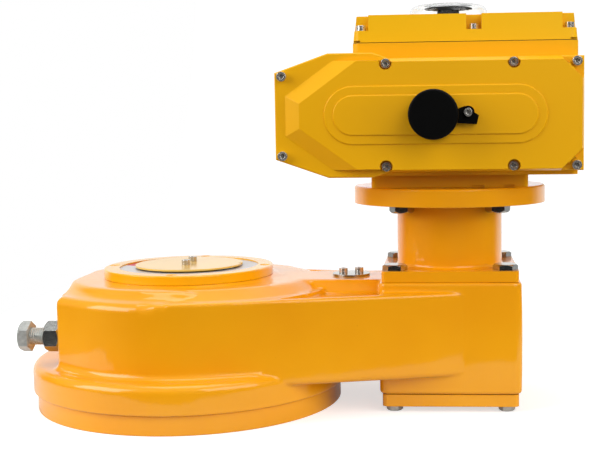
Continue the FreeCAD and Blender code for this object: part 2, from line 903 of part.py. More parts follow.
def gear_housing():
    """Cast gearbox body with its chamber, bearing seats and tapped holes."""
    body = fuse_all(case_walls() + [case_arm()]).cut(case_dishes())
    body = fuse_all([body, case_flange(), case_foot(), case_table(), case_blend(), case_spine(), case_box()])
    chamber, high = case_chamber()
    body = body.cut([chamber, high])
    floor_boss = cylinder(idler_boss_r, arm_floor - 1, idler_pinion_bottom - face_gap, idler_x)
    hub_boss = cylinder(bush_outer_r + case_wall, upper_bush_bottom - face_gap, table_chamber_top)
    bosses = [floor_boss, hub_boss]
    for side in (-1, 1):
        bosses.append(Part.makeCylinder(stop_boss_r, stop_boss_length,
                                        V(-case_flat_x + case_wall - 1, side * stop_y, stop_z), X_DIR))
    body = body.fuse(bosses).removeSplitter()
    tools = [cylinder(bush_outer_r, upper_bush_bottom - 2, table_top + 1),
             cylinder(idler_pin_r, idler_pin_bottom, spine_top + 1, idler_x),
             cylinder(bearing_outer_r, box_bottom - 1, lower_bearing_bottom + bearing_width, head_x),
             cylinder(bearing_lip_r, box_bottom - 1, box_floor + 1, head_x),
             cylinder(bearing_outer_r, chamber_top - 1, box_top + 1, head_x)]
    for side in (-1, 1):
        tools.append(Part.makeCylinder(tap_r(M20_HEX), 2 * stop_boss_length,
                                       V(-case_flat_x - 1, side * stop_y, stop_z), X_DIR))
    for x, y in corners(adapter_bolt_offset):
        low = adapter_plate_top - adapter_plate_thick - thread_reach - 1
        tools.append(cylinder(tap_r(M16_HEX), low, box_top + 1, head_x + x, y))
    for x, y in corners(cover_bolt_offset):
        tools.append(cylinder(tap_r(M10_HEX), box_bottom - 1,
                              box_bottom + thread_reach, head_x + x, y))
    for x, y in on_circle(flange_screw_pcd / 2, valve_bolt_count):
        tools.append(cylinder(tap_r(M8_CAP), case_floor - 1, case_floor + thread_reach, x, y))
    for x, y in ring_screw_places():
        tools.append(cylinder(tap_r(M5_CAP), table_top - ring_screw_reach, table_top + 1, x, y))
    return cut_all(body, tools)


# Round end of the gearbox

def base_flange():
    """Round flange that closes the gearbox and bolts to the valve."""
    body = revolve([line(0, 0, valve_flange_r - flange_edge, 0),
                    line(valve_flange_r - flange_edge, 0, valve_flange_r, flange_edge),
                    line(valve_flange_r, flange_edge, valve_flange_r, valve_flange_thick),
                    line(valve_flange_r, valve_flange_thick, lower_boss_r, valve_flange_thick),
                    line(lower_boss_r, valve_flange_thick, lower_boss_r, lower_boss_top),
                    line(lower_boss_r, lower_boss_top, 0, lower_boss_top),
                    line(0, lower_boss_top, 0, 0)])
    tools = [cylinder(register_r, -1, register_depth),
             cylinder(sleeve_r + 2, -1, lower_boss_top + 1),
             cylinder(bush_outer_r, lower_seal_bottom, lower_boss_top + 1)]
    for x, y in on_circle(valve_pcd / 2, valve_bolt_count, 180.0 / valve_bolt_count):
        tools.append(cylinder(valve_bolt_r, -1, valve_bolt_depth, x, y))
    for x, y in on_circle(flange_screw_pcd / 2, valve_bolt_count):
        tools.append(cylinder(hole_r(M8_CAP), -1, valve_flange_thick + 1, x, y))
        tools.append(cylinder(M8_CAP[1] / 2 + hole_play, -1, M8_CAP[2] + 1, x, y))
    return cut_all(body, tools)


def base_screws():
    screw = cap_screw(M8_CAP, valve_flange_thick - M8_CAP[2] - 1 + gasket_thick + thread_reach - 2)
    places = on_circle(flange_screw_pcd / 2, valve_bolt_count)
    return group([placed(screw, x, y, M8_CAP[2] + 1, Z_DIR * -1) for x, y in places])


def base_gasket():
    outer = valve_flange_r - gasket_inset
    body = ring(outer, outer - gasket_width, valve_flange_thick, case_floor)
    holes = [cylinder(hole_r(M8_CAP), 0, case_floor + 1, x, y)
             for x, y in on_circle(flange_screw_pcd / 2, valve_bolt_count)]
    return cut_all(body, holes)


def ring_screw_places():
    return on_circle(ring_screw_r, 4, ring_screw_start)


def indicator_ring():
    """Ring on the table, with a ledge for the scale plate and a window for the pointer."""
    body = revolve([line(ring_hole_r, table_top, ring_r, table_top),
                    line(ring_r, table_top, ring_r, ring_top - ring_edge_round),
                    quarter(ring_r, ring_top - ring_edge_round, ring_r - ring_edge_round, ring_top,
                            ring_r - ring_edge_round, ring_top - ring_edge_round),
                    line(ring_r - ring_edge_round, ring_top, ring_window_r, ring_top),
                    line(ring_window_r, ring_top, ring_window_r, table_top + ring_web),
                    line(ring_window_r, table_top + ring_web, ring_hole_r, table_top + ring_web),
                    line(ring_hole_r, table_top + ring_web, ring_hole_r, table_top)])
    tools = []
    for x, y in ring_screw_places():
        tools.append(cylinder(hole_r(M5_CAP), table_top - 1, ring_top + 1, x, y))
        tools.append(placed(sink_cone(hole_play), x, y, ring_top - sink_depth()))
    return cut_all(body, tools)


def sink_depth():
    return M5_CAP[0] / 2 + ring_screw_below


def sink_cone(play):
    """Countersink of the ring's screws, opening upwards from its foot."""
    small = M5_CAP[0] / 2 + play
    return Part.makeCone(small, small + sink_depth(), sink_depth() + 0.001)


def ring_screws():
    """Countersunk screws of the ring, a little below its face."""
    below = ring_screw_below
    length = ring_top - table_top - sink_depth() + ring_screw_reach - 1
    shank = Part.makeCylinder(M5_CAP[0] / 2, length, V(0, 0, -length))
    head = Part.makeCone(M5_CAP[0] / 2, M5_CAP[0] / 2 + sink_depth() - below, sink_depth() - below)
    socket = hex_prism(ring_socket_flats, sink_depth())
    socket.translate(V(0, 0, ring_socket_floor))
    screw = fuse_all([head, shank]).cut(socket)
    return group([placed(screw, x, y, ring_top - sink_depth()) for x, y in ring_screw_places()])


def scale_plate():
    low = table_top + ring_web
    return ring(ring_window_r - face_gap, scale_inner_r, low, low + scale_thick)


def pointer_disc():
    """Disc that turns with the sleeve, notched at its edge to point at the scale."""
    body = fuse_all([cylinder(pointer_r, pointer_bottom, pointer_top),
                     cylinder(pointer_boss_r, sleeve_top, pointer_bottom)])
    tools = [cylinder(hole_r(M6_CAP), sleeve_top - 1, pointer_top + 1, 0, side * pointer_screw_y)
             for side in (-1, 1)]
    notch = pointer_notch
    tools.append(prism([(pointer_r - notch, 0), (pointer_r + 1, -notch), (pointer_r + 1, notch)],
                       pointer_bottom - 1, pointer_top + 1))
    return cut_all(body, tools)


def pointer_screws():
    screw = cap_screw(M6_CAP, pointer_top - sleeve_top + pointer_screw_hold)
    return group([placed(screw, 0, side * pointer_screw_y, pointer_top) for side in (-1, 1)])


def drive_sleeve():
    """Hollow sleeve that takes the valve stem; closed at the top, where the pointer sits."""
    body = cylinder(sleeve_r, sleeve_bottom, sleeve_top)
    tools = [cylinder(stem_bore_r, sleeve_bottom - 1, stem_bore_top),
             block(0, stem_bore_r + stem_key_depth, -stem_key_width / 2, stem_key_width / 2,
                   sleeve_bottom - 1, stem_bore_top)]
    for side in (-1, 1):
        tools.append(cylinder(tap_r(M6_CAP), sleeve_top - small_tap_depth, sleeve_top + 1,
                              0, side * pointer_screw_y))
    tools.append(key_block(0.0))
    return cut_all(body, tools)


def key_block(play):
    """Parallel key between the sleeve and the quadrant, on the side of the teeth."""
    depth = 5.0
    width = 14.0
    key = block(sleeve_r - depth, sleeve_r + depth, -width / 2 - play, width / 2 + play,
                quadrant_bottom, hub_top)
    return turned(key, rest_angle + 180)


def turned(shape, angle):
    """Copy turned about the stem axis."""
    copy = shape.copy()
    copy.rotate(CENTRE, Z_DIR, angle)
    return copy


def quadrant_key():
    return key_block(0.0)


def quadrant_gear():
    """Toothed quadrant with its hub; its straight sides meet the stop screws."""
    root_r = quadrant_r - 1.25 * slow_module
    disc = cylinder(root_r + 0.05, quadrant_bottom, quadrant_top)
    far = 2 * quadrant_r
    side_x = stop_plane * math.sqrt(2)
    wedge = prism([(-side_x, 0), (far - side_x, -far), (far - side_x, far)], quadrant_bottom, quadrant_top)
    last = quadrant_side_teeth
    points = tooth_points(slow_module, quadrant_full_teeth, slow_backlash, 0.0, -last, last)
    rim = prism([(0.0, 0.0)] + points, quadrant_bottom, quadrant_top)
    body = fuse_all([disc.common(wedge), rim.common(wedge),
                     cylinder(hub_r, lower_boss_top + face_gap, hub_top)])
    body = body.cut(cylinder(sleeve_r, 0, hub_top + 1))
    return turned(body, rest_angle).cut(key_block(0.0))


def lower_bush():
    return ring(bush_outer_r, sleeve_r + running_clearance, lower_bush_bottom, lower_boss_top)


def upper_bush():
    return ring(bush_outer_r, sleeve_r + running_clearance, upper_bush_bottom, upper_bush_top)


def sleeve_seals():
    inner = sleeve_r + running_clearance
    return group([ring(bush_outer_r, inner, low, low + seal_height)
                  for low in (lower_seal_bottom, upper_seal_bottom)])


def stop_tip_x():
    return -stop_plane - face_gap


def stop_screw(side):
    """Stop screw: its tip faces the straight side of the quadrant at the end of the turn."""
    nut_far = case_flat_x + stop_nut_gap + m20_nut_height
    head_face = nut_far + stop_thread_show
    bolt = hex_bolt(M20_HEX, head_face + stop_tip_x())
    return placed(bolt, -head_face, side * stop_y, stop_z, X_DIR * -1)


def lock_nuts():
    nut = hex_nut(M20_HEX, m20_nut_height)
    return group([placed(nut, -case_flat_x, side * stop_y, stop_z, X_DIR * -1) for side in (-1, 1)])


# Intermediate gear

def idler_pin():
    body = cylinder(idler_pin_r, idler_pin_bottom, spine_top, idler_x)
    return cut_all(body, [cylinder(tap_r(M6_CAP), spine_top - small_tap_depth, spine_top + 1,
                                   idler_x + x, y) for x, y in keeper_places()])


def keeper_places():
    return on_circle(keeper_screw_r, 2, keeper_turn)


def keeper_plate():
    """Round plate on the pin's end, which keeps the pin in the spine."""
    body = cylinder(keeper_r, spine_top, spine_top + keeper_thick, idler_x)
    return cut_all(body, [cylinder(hole_r(M6_CAP), spine_top - 1, spine_top + keeper_thick + 1,
                                   idler_x + x, y) for x, y in keeper_places()])


def keeper_screws():
    screw = cap_screw(M6_CAP, keeper_screw_hold)
    return group([placed(screw, idler_x + x, y, spine_top + keeper_thick) for x, y in keeper_places()])


def idler_bush():
    return ring(idler_pin_r + idler_bush_wall, idler_pin_r + running_clearance,
                idler_pinion_bottom, idler_gear_top, idler_x)


def idler_pinion():
    """Small pinion under the intermediate gear, with the hub that carries the gear."""
    gear = spur_gear(slow_module, idler_pinion_teeth, slow_backlash,
                     idler_pinion_top - idler_pinion_bottom, 1.0, 180.0)
    gear.translate(V(idler_x, 0, idler_pinion_bottom))
    hub = cylinder(idler_hub_r, idler_pinion_bottom, idler_gear_top, idler_x)
    return fuse_all([gear, hub]).cut(cylinder(idler_pin_r + idler_bush_wall, 0, table_top, idler_x))


def idler_gear():
    gear = spur_gear(fast_module, idler_gear_teeth, fast_backlash,
                     idler_gear_top - idler_gear_bottom, idler_hub_r, 0.0)
    gear.translate(V(idler_x, 0, idler_gear_bottom))
    return gear


# Input shaft in the square end

def input_pinion():
    """Pinion cut on its shaft, with a bearing journal at each end."""
    phase = 180.0 - 180.0 / input_pinion_teeth
    face = input_pinion_top - input_pinion_bottom
    gear = prism(tooth_points(fast_module, input_pinion_teeth, fast_backlash, phase, 0,
                              input_pinion_teeth - 1), 0, face)
    gear.translate(V(head_x, 0, input_pinion_bottom))
    lower_top = lower_bearing_bottom + bearing_width
    upper_top = upper_bearing_bottom + bearing_width
    return fuse_all([gear,
                     cylinder(pinion_journal_r, lower_bearing_bottom - 1, upper_top, head_x),
                     cylinder(pinion_shaft_r, lower_top, upper_bearing_bottom, head_x),
                     cylinder(pinion_top_r, upper_top - 1, pinion_shaft_top, head_x)])


def input_bearing(low):
    body = bearing(pinion_journal_r + running_clearance, bearing_outer_r, bearing_width, bearing_race)
    return placed(body, head_x, 0, low)


def bottom_cover():
    body = soft_block(box_left, box_right, -box_width / 2, box_width / 2, cover_bottom,
                      box_bottom - gasket_thick, box_edge_round)
    return cut_all(body, [cylinder(hole_r(M10_HEX), 0, box_bottom + 1, head_x + x, y)
                          for x, y in corners(cover_bolt_offset)])


def cover_gasket():
    edge = gasket_inset
    body = soft_block(box_left + edge, box_right - edge, edge - box_width / 2, box_width / 2 - edge,
                      box_bottom - gasket_thick, box_bottom, box_edge_round)
    tools = [cylinder(hole_r(M10_HEX), 0, box_bottom + 1, head_x + x, y)
             for x, y in corners(cover_bolt_offset)]
    return cut_all(body, tools + [cylinder(bearing_outer_r, 0, box_bottom + 1, head_x)])


def bottom_bolts():
    bolt = hex_bolt(M10_HEX, box_bottom - cover_bottom + thread_reach - 2)
    places = corners(cover_bolt_offset)
    return group([placed(bolt, head_x + x, y, cover_bottom, Z_DIR * -1) for x, y in places])


# Adapter

def adapter_stand():
    """Square plate, tube and round flange in one casting."""
    half = box_width / 2
    plate = soft_block(box_left, box_right, -half, half, box_top, adapter_plate_top, box_edge_round)
    foot = adapter_plate_top
    fillet_r = adapter_tube_r + adapter_fillet
    fillet_z = foot + adapter_fillet
    edge_r = adapter_flange_r - adapter_flange_edge
    edge_z = adapter_flange_top - adapter_flange_edge
    profile = revolve([line(0, foot - 1, fillet_r, foot - 1),
                       line(fillet_r, foot - 1, fillet_r, foot),
                       quarter(fillet_r, foot, adapter_tube_r, fillet_z, fillet_r, fillet_z),
                       line(adapter_tube_r, fillet_z, adapter_tube_r, adapter_flange_bottom),
                       line(adapter_tube_r, adapter_flange_bottom, adapter_flange_r, adapter_flange_bottom),
                       line(adapter_flange_r, adapter_flange_bottom, adapter_flange_r, edge_z),
                       line(adapter_flange_r, edge_z, edge_r, adapter_flange_top),
                       line(edge_r, adapter_flange_top, 0, adapter_flange_top),
                       line(0, adapter_flange_top, 0, foot - 1)], head_x)
    spigot = cylinder(bearing_outer_r - running_clearance, box_top - adapter_spigot, box_top + 1, head_x)
    body = fuse_all([plate, profile, spigot])
    tools = [cylinder(adapter_neck_r, 0, adapter_neck_top + 1, head_x),
             cylinder(adapter_bore_r, adapter_neck_top, adapter_flange_top + 1, head_x)]
    for x, y in corners(adapter_bolt_offset):
        tools.append(cylinder(hole_r(M16_HEX), box_top - 1, adapter_plate_top + 1, head_x + x, y))
    for x, y in corners(head_bolt_offset):
        tools.append(cylinder(hole_r(M16_HEX), adapter_flange_bottom - 1,
                              adapter_flange_top + 1, head_x + x, y))
    return cut_all(body, tools)


def adapter_bolts():
    bolt = hex_bolt(M16_HEX, adapter_plate_thick + thread_reach)
    return group([placed(bolt, head_x + x, y, adapter_plate_top) for x, y in corners(adapter_bolt_offset)])


def head_bolts():
    bolt = hex_bolt(M16_HEX, adapter_flange_top - adapter_flange_bottom + thread_reach)
    return group([placed(bolt, head_x + x, y, adapter_flange_bottom, Z_DIR * -1)
                  for x, y in corners(head_bolt_offset)])


def shaft_coupling():
    """Sleeve in the adapter tube that joins the head's shaft to the pinion shaft."""
    body = cylinder(coupling_r, coupling_bottom, coupling_top, head_x)
    return body.cut([cylinder(pinion_top_r, 0, pinion_shaft_top, head_x),
                     cylinder(pinion_top_r, 0, head_shaft_bottom + 1, head_x),
                     cylinder(head_shaft_r, head_shaft_bottom, coupling_top + 1, head_x)])


# Electric head

def rim_outline():
    """Outline of the gear cover and of the housing flange behind it, as (x, z)."""
    right = [(rim_left, -rim_left_half), (lobe_left, -lobe_half), (lobe_right, -lobe_half),
             (step_right, -rim_half), (rim_right, -rim_half)]
    both = right + [(x, -z) for x, z in reversed(right)]
    return [(x, head_mid_z + z) for x, z in both]


def cover_screw_places():
    """Screws of the gear cover, as (x, z)."""
    left_x = rim_left + cover_screw_left
    left_half = rim_left_half - cover_screw_low
    edge = rim_half - cover_screw_edge
    places = [(left_x, left_half), (step_right - 3.0, edge), (stadium_right - 4.0, edge),
              (rim_right - cover_screw_right, edge)]
    return [(x, head_mid_z + side * z) for x, z in places for side in (-1, 1)]


def facet_points(run):
    """Left end of the raised pad, moved in by the run of its sloping sides."""
    along = unit(facet_shoulder_x - facet_left, facet_shoulder_half - facet_left_half)
    left_half = facet_left_half + (run * along[1] - run) / along[0]
    top_half = facet_shoulder_half - pad_edge_run * run / facet_run
    shoulder_x = facet_left + (run + (top_half - facet_left_half) * along[0]) / along[1]
    return left_half, top_half, shoulder_x


def pad_wire(run, y):
    """Outline of the raised pad at one depth."""
    left_half, top_half, shoulder_x = facet_points(run)
    edge = pad_edge_run * run / facet_run
    low = [(facet_left + run, -left_half), (shoulder_x, -top_half), (step_right - 8.0, -top_half),
           (step_right - 2.0, -rim_half + edge), (rim_right - edge, -rim_half + edge)]
    both = low + [(x, -z) for x, z in reversed(low)]
    points = [V(x, y, head_mid_z + z) for x, z in both]
    return Part.makePolygon(points + points[:1])


def stadium(radius, front, back):
    """Long round-ended pad on the face of the gear cover."""
    ends = [bar(radius, front, back, x, head_mid_z) for x in (stadium_left, stadium_right)]
    middle = block(stadium_left, stadium_right, front, back, head_mid_z - radius, head_mid_z + radius)
    body = fuse_all(ends + [middle])
    rim = [e for e in body.Edges if abs(e.BoundBox.YMax - front) < 0.01]
    return body.makeChamfer(stadium_chamfer, rim)


def gear_cover():
    """Front cover of the head, over the spur train."""
    rim = slab(rim_outline(), rim_front_y, joint_y)
    rim = rim.makeChamfer(rim_chamfer, [e for e in rim.Edges if abs(e.BoundBox.YMax - rim_front_y) < 0.01])
    pad = Part.makeLoft([pad_wire(0.0, rim_front_y), pad_wire(facet_run, pad_front_y)], True, True)
    cut_y = rim_front_y
    for side in (-1, 1):
        edge_z = head_mid_z + side * rim_half
        corner = slab([(rim_right - corner_cut, edge_z), (rim_right + 1, edge_z - side * (corner_cut + 1)),
                       (rim_right + 1, edge_z + side * 2)], pad_front_y - 1, cut_y)
        pad = pad.cut(corner)
    body = fuse_all([rim, pad, stadium(stadium_outer_r, pad_front_y - stadium_rise, pad_front_y + 1),
                     stadium(stadium_inner_r, stadium_front_y, pad_front_y + 1)])
    boss = bar(hand_boss_r, stadium_front_y - hand_boss_length, stadium_front_y + 1, hand_x, head_mid_z)
    strap_post = bar(strap_post_r, stadium_front_y - strap_post_height, stadium_front_y + 1,
                     *strap_screw_place())
    body = fuse_all([body, boss, strap_post])
    room = slab(inset(rim_outline(), cover_wall), joint_y - cover_pocket_depth, joint_y + 1)
    for x, z in cover_screw_places():
        room = room.cut(bar(cover_boss_r, joint_y - cover_pocket_depth - 1, joint_y + 2, x, z))
    for x in (hand_x, worm_x):
        room = room.cut(bar(hand_bush_r + bush_boss_wall, joint_y - cover_pocket_depth - 1, joint_y + 2,
                            x, head_mid_z))
    tap_back = stadium_front_y - strap_post_height + small_tap_depth
    tools = [room, bar(hand_bush_r, joint_y - front_bush_length, joint_y + 1, hand_x, head_mid_z),
             bar(hand_shaft_r + face_gap, hand_shaft_front, joint_y + 1, hand_x, head_mid_z),
             bar(worm_journal_r + running_clearance, joint_y - cover_pocket_depth, joint_y + 1,
                 worm_x, head_mid_z),
             bar(tap_r(M5_CAP), stadium_front_y - strap_post_height - 1, tap_back,
                 *strap_screw_place())]
    for x, z in cover_screw_places():
        tools.append(bar(hole_r(M6_CAP), pad_front_y - 3, joint_y + 1, x, z))
        tools.append(bar(cover_screw_recess_r, pad_front_y - 3, rim_front_y, x, z))
    return cut_all(body, tools)


def cover_screws():
    screw = cap_screw(M6_CAP, joint_y - rim_front_y + cover_screw_hold)
    return group([facing_front(screw, x, rim_front_y, z) for x, z in cover_screw_places()])


def strap_screw_place():
    """Screw that holds the strap of the rubber cap, as (x, z)."""
    return hand_x + strap_screw_x, head_mid_z + strap_screw_z


def top_screw_places():
    """Screws of the top cover, as (x, y)."""
    front = body_front + top_cover_inset + top_screw_inset
    back = body_back - top_cover_inset - top_screw_inset
    return [(x, y) for x in top_screw_x for y in (front, back)]


def head_housing():
    """Main casting of the head: pedestal, box, motor barrel, bulkhead and ledges."""
    flange = slab(rim_outline(), joint_y, joint_y + head_flange_thick)
    gear_case = slab(inset(rim_outline(), gear_case_inset), joint_y + 1, gear_case_back_y)
    box = soft_block(body_left, body_right, body_front, body_back, pedestal_top, body_top, body_round)
    barrel_r = motor_r + motor_room_gap + motor_barrel_wall
    barrel = bar(barrel_r, joint_y + 1, motor_back_y + motor_barrel_wall, motor_x, head_mid_z)
    dome_edge = [e for e in barrel.Edges if abs(e.BoundBox.YMin - motor_back_y - motor_barrel_wall) < 0.01]
    barrel = barrel.makeFillet(motor_barrel_wall, dome_edge)
    pedestal = soft_block(head_x - pedestal_half_x, head_x + pedestal_half_x, -pedestal_half_y,
                          pedestal_half_y, adapter_flange_top, pedestal_top + 1, pedestal_round)
    entries = [bar(entry_boss_r, body_back - 1, body_back + entry_boss_length, x, entry_z) for x in entry_x]
    body = fuse_all([flange, gear_case, box, barrel, pedestal] + entries)
    front_room = slab(inset(rim_outline(), cover_wall), joint_y - 1, chamber_front_y)
    for x, z in cover_screw_places():
        front_room = front_room.cut(bar(cover_boss_r, joint_y - 2, joint_y + cover_boss_length, x, z))
    motor_room = bar(motor_r + motor_room_gap, chamber_front_y - 1, motor_back_y + 1, motor_x, head_mid_z)
    worm_room = block(worm_room_left, worm_room_right, bulkhead_back_y, worm_room_back,
                      worm_room_floor, deck_bottom + 1)
    inner_left = body_left + body_wall
    inner_right = body_right - body_wall
    inner_back = body_back - body_wall
    deck_room = block(inner_left, inner_right, bulkhead_back_y, inner_back, deck_bottom, body_top + 1)
    upper_room = block(inner_left, inner_right, body_front + body_wall, inner_back,
                       upper_room_floor, body_top + 1)
    for x, y in top_screw_places():
        post = cylinder(top_boss_r, deck_bottom - 1, body_top + 2, x, y)
        upper_room = upper_room.cut(post)
        if y > 0:
            deck_room = deck_room.cut(post)
    body = cut_all(body, [front_room, motor_room, worm_room, deck_room, upper_room])
    bush_r = head_shaft_r + head_bush_wall
    tools = [cylinder(head_shaft_r + 2, adapter_flange_top - 1, worm_room_floor + 1, head_x),
             cylinder(bush_r, pedestal_top, worm_room_floor + 1, head_x),
             bar(hand_bush_r, chamber_front_y - 1, bulkhead_back_y + 1, hand_x, head_mid_z),
             bar(worm_bearing_r, chamber_front_y - 1, chamber_front_y + worm_bearing_width,
                 worm_x, head_mid_z),
             bar(worm_bearing_r - 4, chamber_front_y, bulkhead_back_y + 1, worm_x, head_mid_z),
             bar(worm_bearing_r, worm_room_back - 1, worm_room_back + worm_bearing_width, worm_x, head_mid_z)]
    for x in entry_x:
        tools.append(bar(entry_r, body_back - body_wall - 1, body_back + entry_boss_length + 1, x, entry_z))
    for x, z in cover_screw_places():
        tools.append(bar(tap_r(M6_CAP), joint_y - 1, joint_y + cover_boss_length - 2, x, z))
    for x, y in top_screw_places():
        tools.append(cylinder(tap_r(M6_CAP), body_top - top_tap_depth, body_top + 1, x, y))
    for x, y in corners(head_bolt_offset):
        tools.append(cylinder(tap_r(M16_HEX), adapter_flange_top - 1,
                              adapter_flange_top + thread_reach + 1, head_x + x, y))
    for x, width in ((first_slit_x, first_slit_width), (second_slit_x, second_slit_width)):
        tools.append(block(x, x + width, -pedestal_half_y - 1, slit_depth - pedestal_half_y,
                           adapter_flange_top - 1, adapter_flange_top + slit_height))
    return cut_all(body, tools)


def top_cover():
    """Lid of the head, drafted inwards towards its top, with open pockets for its screws."""
    low_x0, low_x1 = body_left + top_cover_inset, body_right - top_cover_inset
    low_y0, low_y1 = body_front + top_cover_inset, body_back - top_cover_inset
    draft = top_cover_draft
    base = body_top + gasket_thick

    def lid(wall, low, high, lean):
        x0, x1 = low_x0 + wall, low_x1 - wall
        y0, y1 = low_y0 + wall, low_y1 - wall
        wires = []
        for step, z in ((0.0, low), (lean, high)):
            plan = soft_block(x0 + step, x1 - step, y0 + step, y1 - step, z, z + 1, body_round - step)
            face = [f for f in plan.Faces if f.BoundBox.ZMax - z < 0.01][0]
            wires.append(face.OuterWire)
        return Part.makeLoft(wires, True, True)

    body = lid(0.0, base, top_cover_top, draft)
    room = block(low_x0 + top_cover_wall + draft, low_x1 - top_cover_wall - draft,
                 low_y0 + top_cover_wall + draft, low_y1 - top_cover_wall - draft,
                 base - 1, top_cover_top - top_cover_wall)
    pockets = []
    holes = []
    for x, y in top_screw_places():
        half = top_screw_pocket / 2
        keep = half + top_cover_wall
        room = room.cut(block(x - keep, x + keep, y - keep, y + keep, base - 2, top_cover_top))
        out_y = low_y0 - 1 if y < 0 else low_y1 + 1
        near_y = y + half if y < 0 else y - half
        x0, x1 = x - half, x + half
        if x < top_screw_x[1]:
            x0 = low_x0 - 1
        if x > top_screw_x[1]:
            x1 = low_x1 + 1
        pockets.append(block(x0, x1, min(out_y, near_y), max(out_y, near_y),
                             top_screw_seat, top_cover_top + 1))
        holes.append(cylinder(hole_r(M6_CAP), base - 1, top_screw_seat + 1, x, y))
    notches = []
    for x0, x1 in ((low_x0 - 1, low_x0 + seam_notch), (low_x1 - seam_notch, low_x1 + 1)):
        notches.append(block(x0, x1, low_y0 - 1, low_y0 + seam_notch_depth,
                             base - 1, base + seam_notch_height))
    hole = cylinder(dome_hole_r, base, top_cover_top + 1, head_x)
    return cut_all(body, [room, hole] + pockets + holes + notches)


def top_cover_screws():
    screw = cap_screw(M6_CAP, top_screw_rise + top_screw_hold)
    return group([placed(screw, x, y, top_screw_seat) for x, y in top_screw_places()])


def head_gaskets():
    """Gasket of the top cover; the gear cover seals on its machined face."""
    low_x0, low_x1 = body_left + 2 * top_cover_inset, body_right - 2 * top_cover_inset
    low_y0, low_y1 = body_front + 2 * top_cover_inset, body_back - 2 * top_cover_inset
    outer = soft_block(low_x0, low_x1, low_y0, low_y1, body_top, body_top + gasket_thick, body_round - 1)
    inner = block(body_left + body_wall, body_right - body_wall, body_front + body_wall,
                  body_back - body_wall, body_top - 1, body_top + 2)
    for x, y in top_screw_places():
        inner = inner.cut(cylinder(top_boss_r, body_top - 2, body_top + 3, x, y))
    holes = [cylinder(hole_r(M6_CAP), body_top - 1, body_top + 2, x, y) for x, y in top_screw_places()]
    return cut_all(outer, [inner] + holes)


def dome_profile(radius, flat_z, top_z):
    """Edges of a domed profile from the rim to the axis."""
    rise = top_z - flat_z
    sphere = (radius ** 2 + rise ** 2) / (2 * rise)
    half = math.atan2(radius, sphere - rise) / 2
    middle = V(sphere * math.sin(half), 0, top_z - sphere + sphere * math.cos(half))
    return Part.Arc(V(radius, 0, flat_z), middle, V(0, 0, top_z)).toShape()


def sight_dome():
    """Clear moulded dome with a flange, standing on the top cover."""
    low = top_cover_top
    flange_z = low + dome_flange_thick
    crown_r = dome_r - dome_edge
    crown_z = dome_top - dome_crown
    side_z = crown_z - dome_edge
    outer = revolve([line(0, low, dome_flange_r, low), line(dome_flange_r, low, dome_flange_r, flange_z),
                     line(dome_flange_r, flange_z, dome_r, flange_z), line(dome_r, flange_z, dome_r, side_z),
                     quarter(dome_r, side_z, crown_r, crown_z, crown_r, side_z),
                     dome_profile(crown_r, crown_z, dome_top), line(0, dome_top, 0, low)], head_x)
    inner_r = dome_r - dome_wall
    roof_z = crown_z - dome_wall
    inner = revolve([line(0, low - 1, inner_r, low - 1), line(inner_r, low - 1, inner_r, side_z),
                     quarter(inner_r, side_z, crown_r, roof_z, crown_r, side_z),
                     dome_profile(crown_r, roof_z, dome_top - dome_wall),
                     line(0, dome_top - dome_wall, 0, low - 1)], head_x)
    return outer.cut(inner)


def indicator_dial():
    """Black mushroom-shaped indicator on the end of the head's shaft, seen through the dome."""
    disc_top = dial_bottom + dial_thick
    edge = dial_edge
    body = revolve([line(0, upper_shaft_top, dial_stem_r, upper_shaft_top),
                    line(dial_stem_r, upper_shaft_top, dial_stem_r, dial_bottom),
                    line(dial_stem_r, dial_bottom, dial_r, dial_bottom),
                    line(dial_r, dial_bottom, dial_r, dial_bottom + edge),
                    dome_profile(dial_r, dial_bottom + edge, disc_top),
                    line(0, disc_top, 0, upper_shaft_top)], head_x)
    return body


# Drive train in the head

def head_shaft():
    """Upright drive shaft of the head."""
    return fuse_all([cylinder(head_shaft_r, head_shaft_bottom, shaft_shoulder_z, head_x),
                     cylinder(upper_shaft_r, shaft_shoulder_z - 1, upper_shaft_top, head_x)])


def head_bush():
    return ring(head_shaft_r + head_bush_wall, head_shaft_r + running_clearance,
                pedestal_top, worm_room_floor, head_x)


def worm_wheel():
    """Bronze wheel on the drive shaft, with its hub below."""
    low = head_mid_z - wheel_half_face
    gear = spur_gear(worm_module, wheel_teeth, slow_backlash, 2 * wheel_half_face, 1.0, 0.0)
    gear.translate(V(head_x, 0, low))
    hub = cylinder(wheel_hub_r, low - wheel_hub_drop, low + 1, head_x)
    return fuse_all([gear, hub]).cut(cylinder(head_shaft_r, 0, body_top, head_x))


def worm_shaft():
    """Worm shaft along Y, carried by one bearing in the bulkhead and one in the rear wall."""
    root_r = worm_pitch_r - 1.25 * worm_module
    end = worm_room_back + worm_bearing_width - 1
    return fuse_all([bar(worm_journal_r, joint_y - cover_pocket_depth + 1, end, worm_x, head_mid_z),
                     bar(root_r, -worm_half_length, worm_half_length, worm_x, head_mid_z)])


def worm_bearings():
    body = bearing(worm_journal_r + running_clearance, worm_bearing_r, worm_bearing_width, 3.0)
    front = facing_front(body, worm_x, chamber_front_y + worm_bearing_width, head_mid_z)
    rear = facing_front(body, worm_x, worm_room_back + worm_bearing_width, head_mid_z)
    return group([front, rear])


def train_gear(teeth, bore_r, phase, x):
    gear = spur_gear(train_module, teeth, train_backlash, train_gear_face, bore_r, phase)
    return facing_front(gear, x, train_gear_back, head_mid_z)


def motor_gear():
    return train_gear(motor_gear_teeth, motor_shaft_r, 180.0 / motor_gear_teeth, motor_x)


def hand_gear():
    return train_gear(hand_gear_teeth, hand_shaft_r, 0.0, hand_x)


def worm_gear():
    return train_gear(worm_gear_teeth, worm_journal_r, 180.0 - 180.0 / worm_gear_teeth, worm_x)


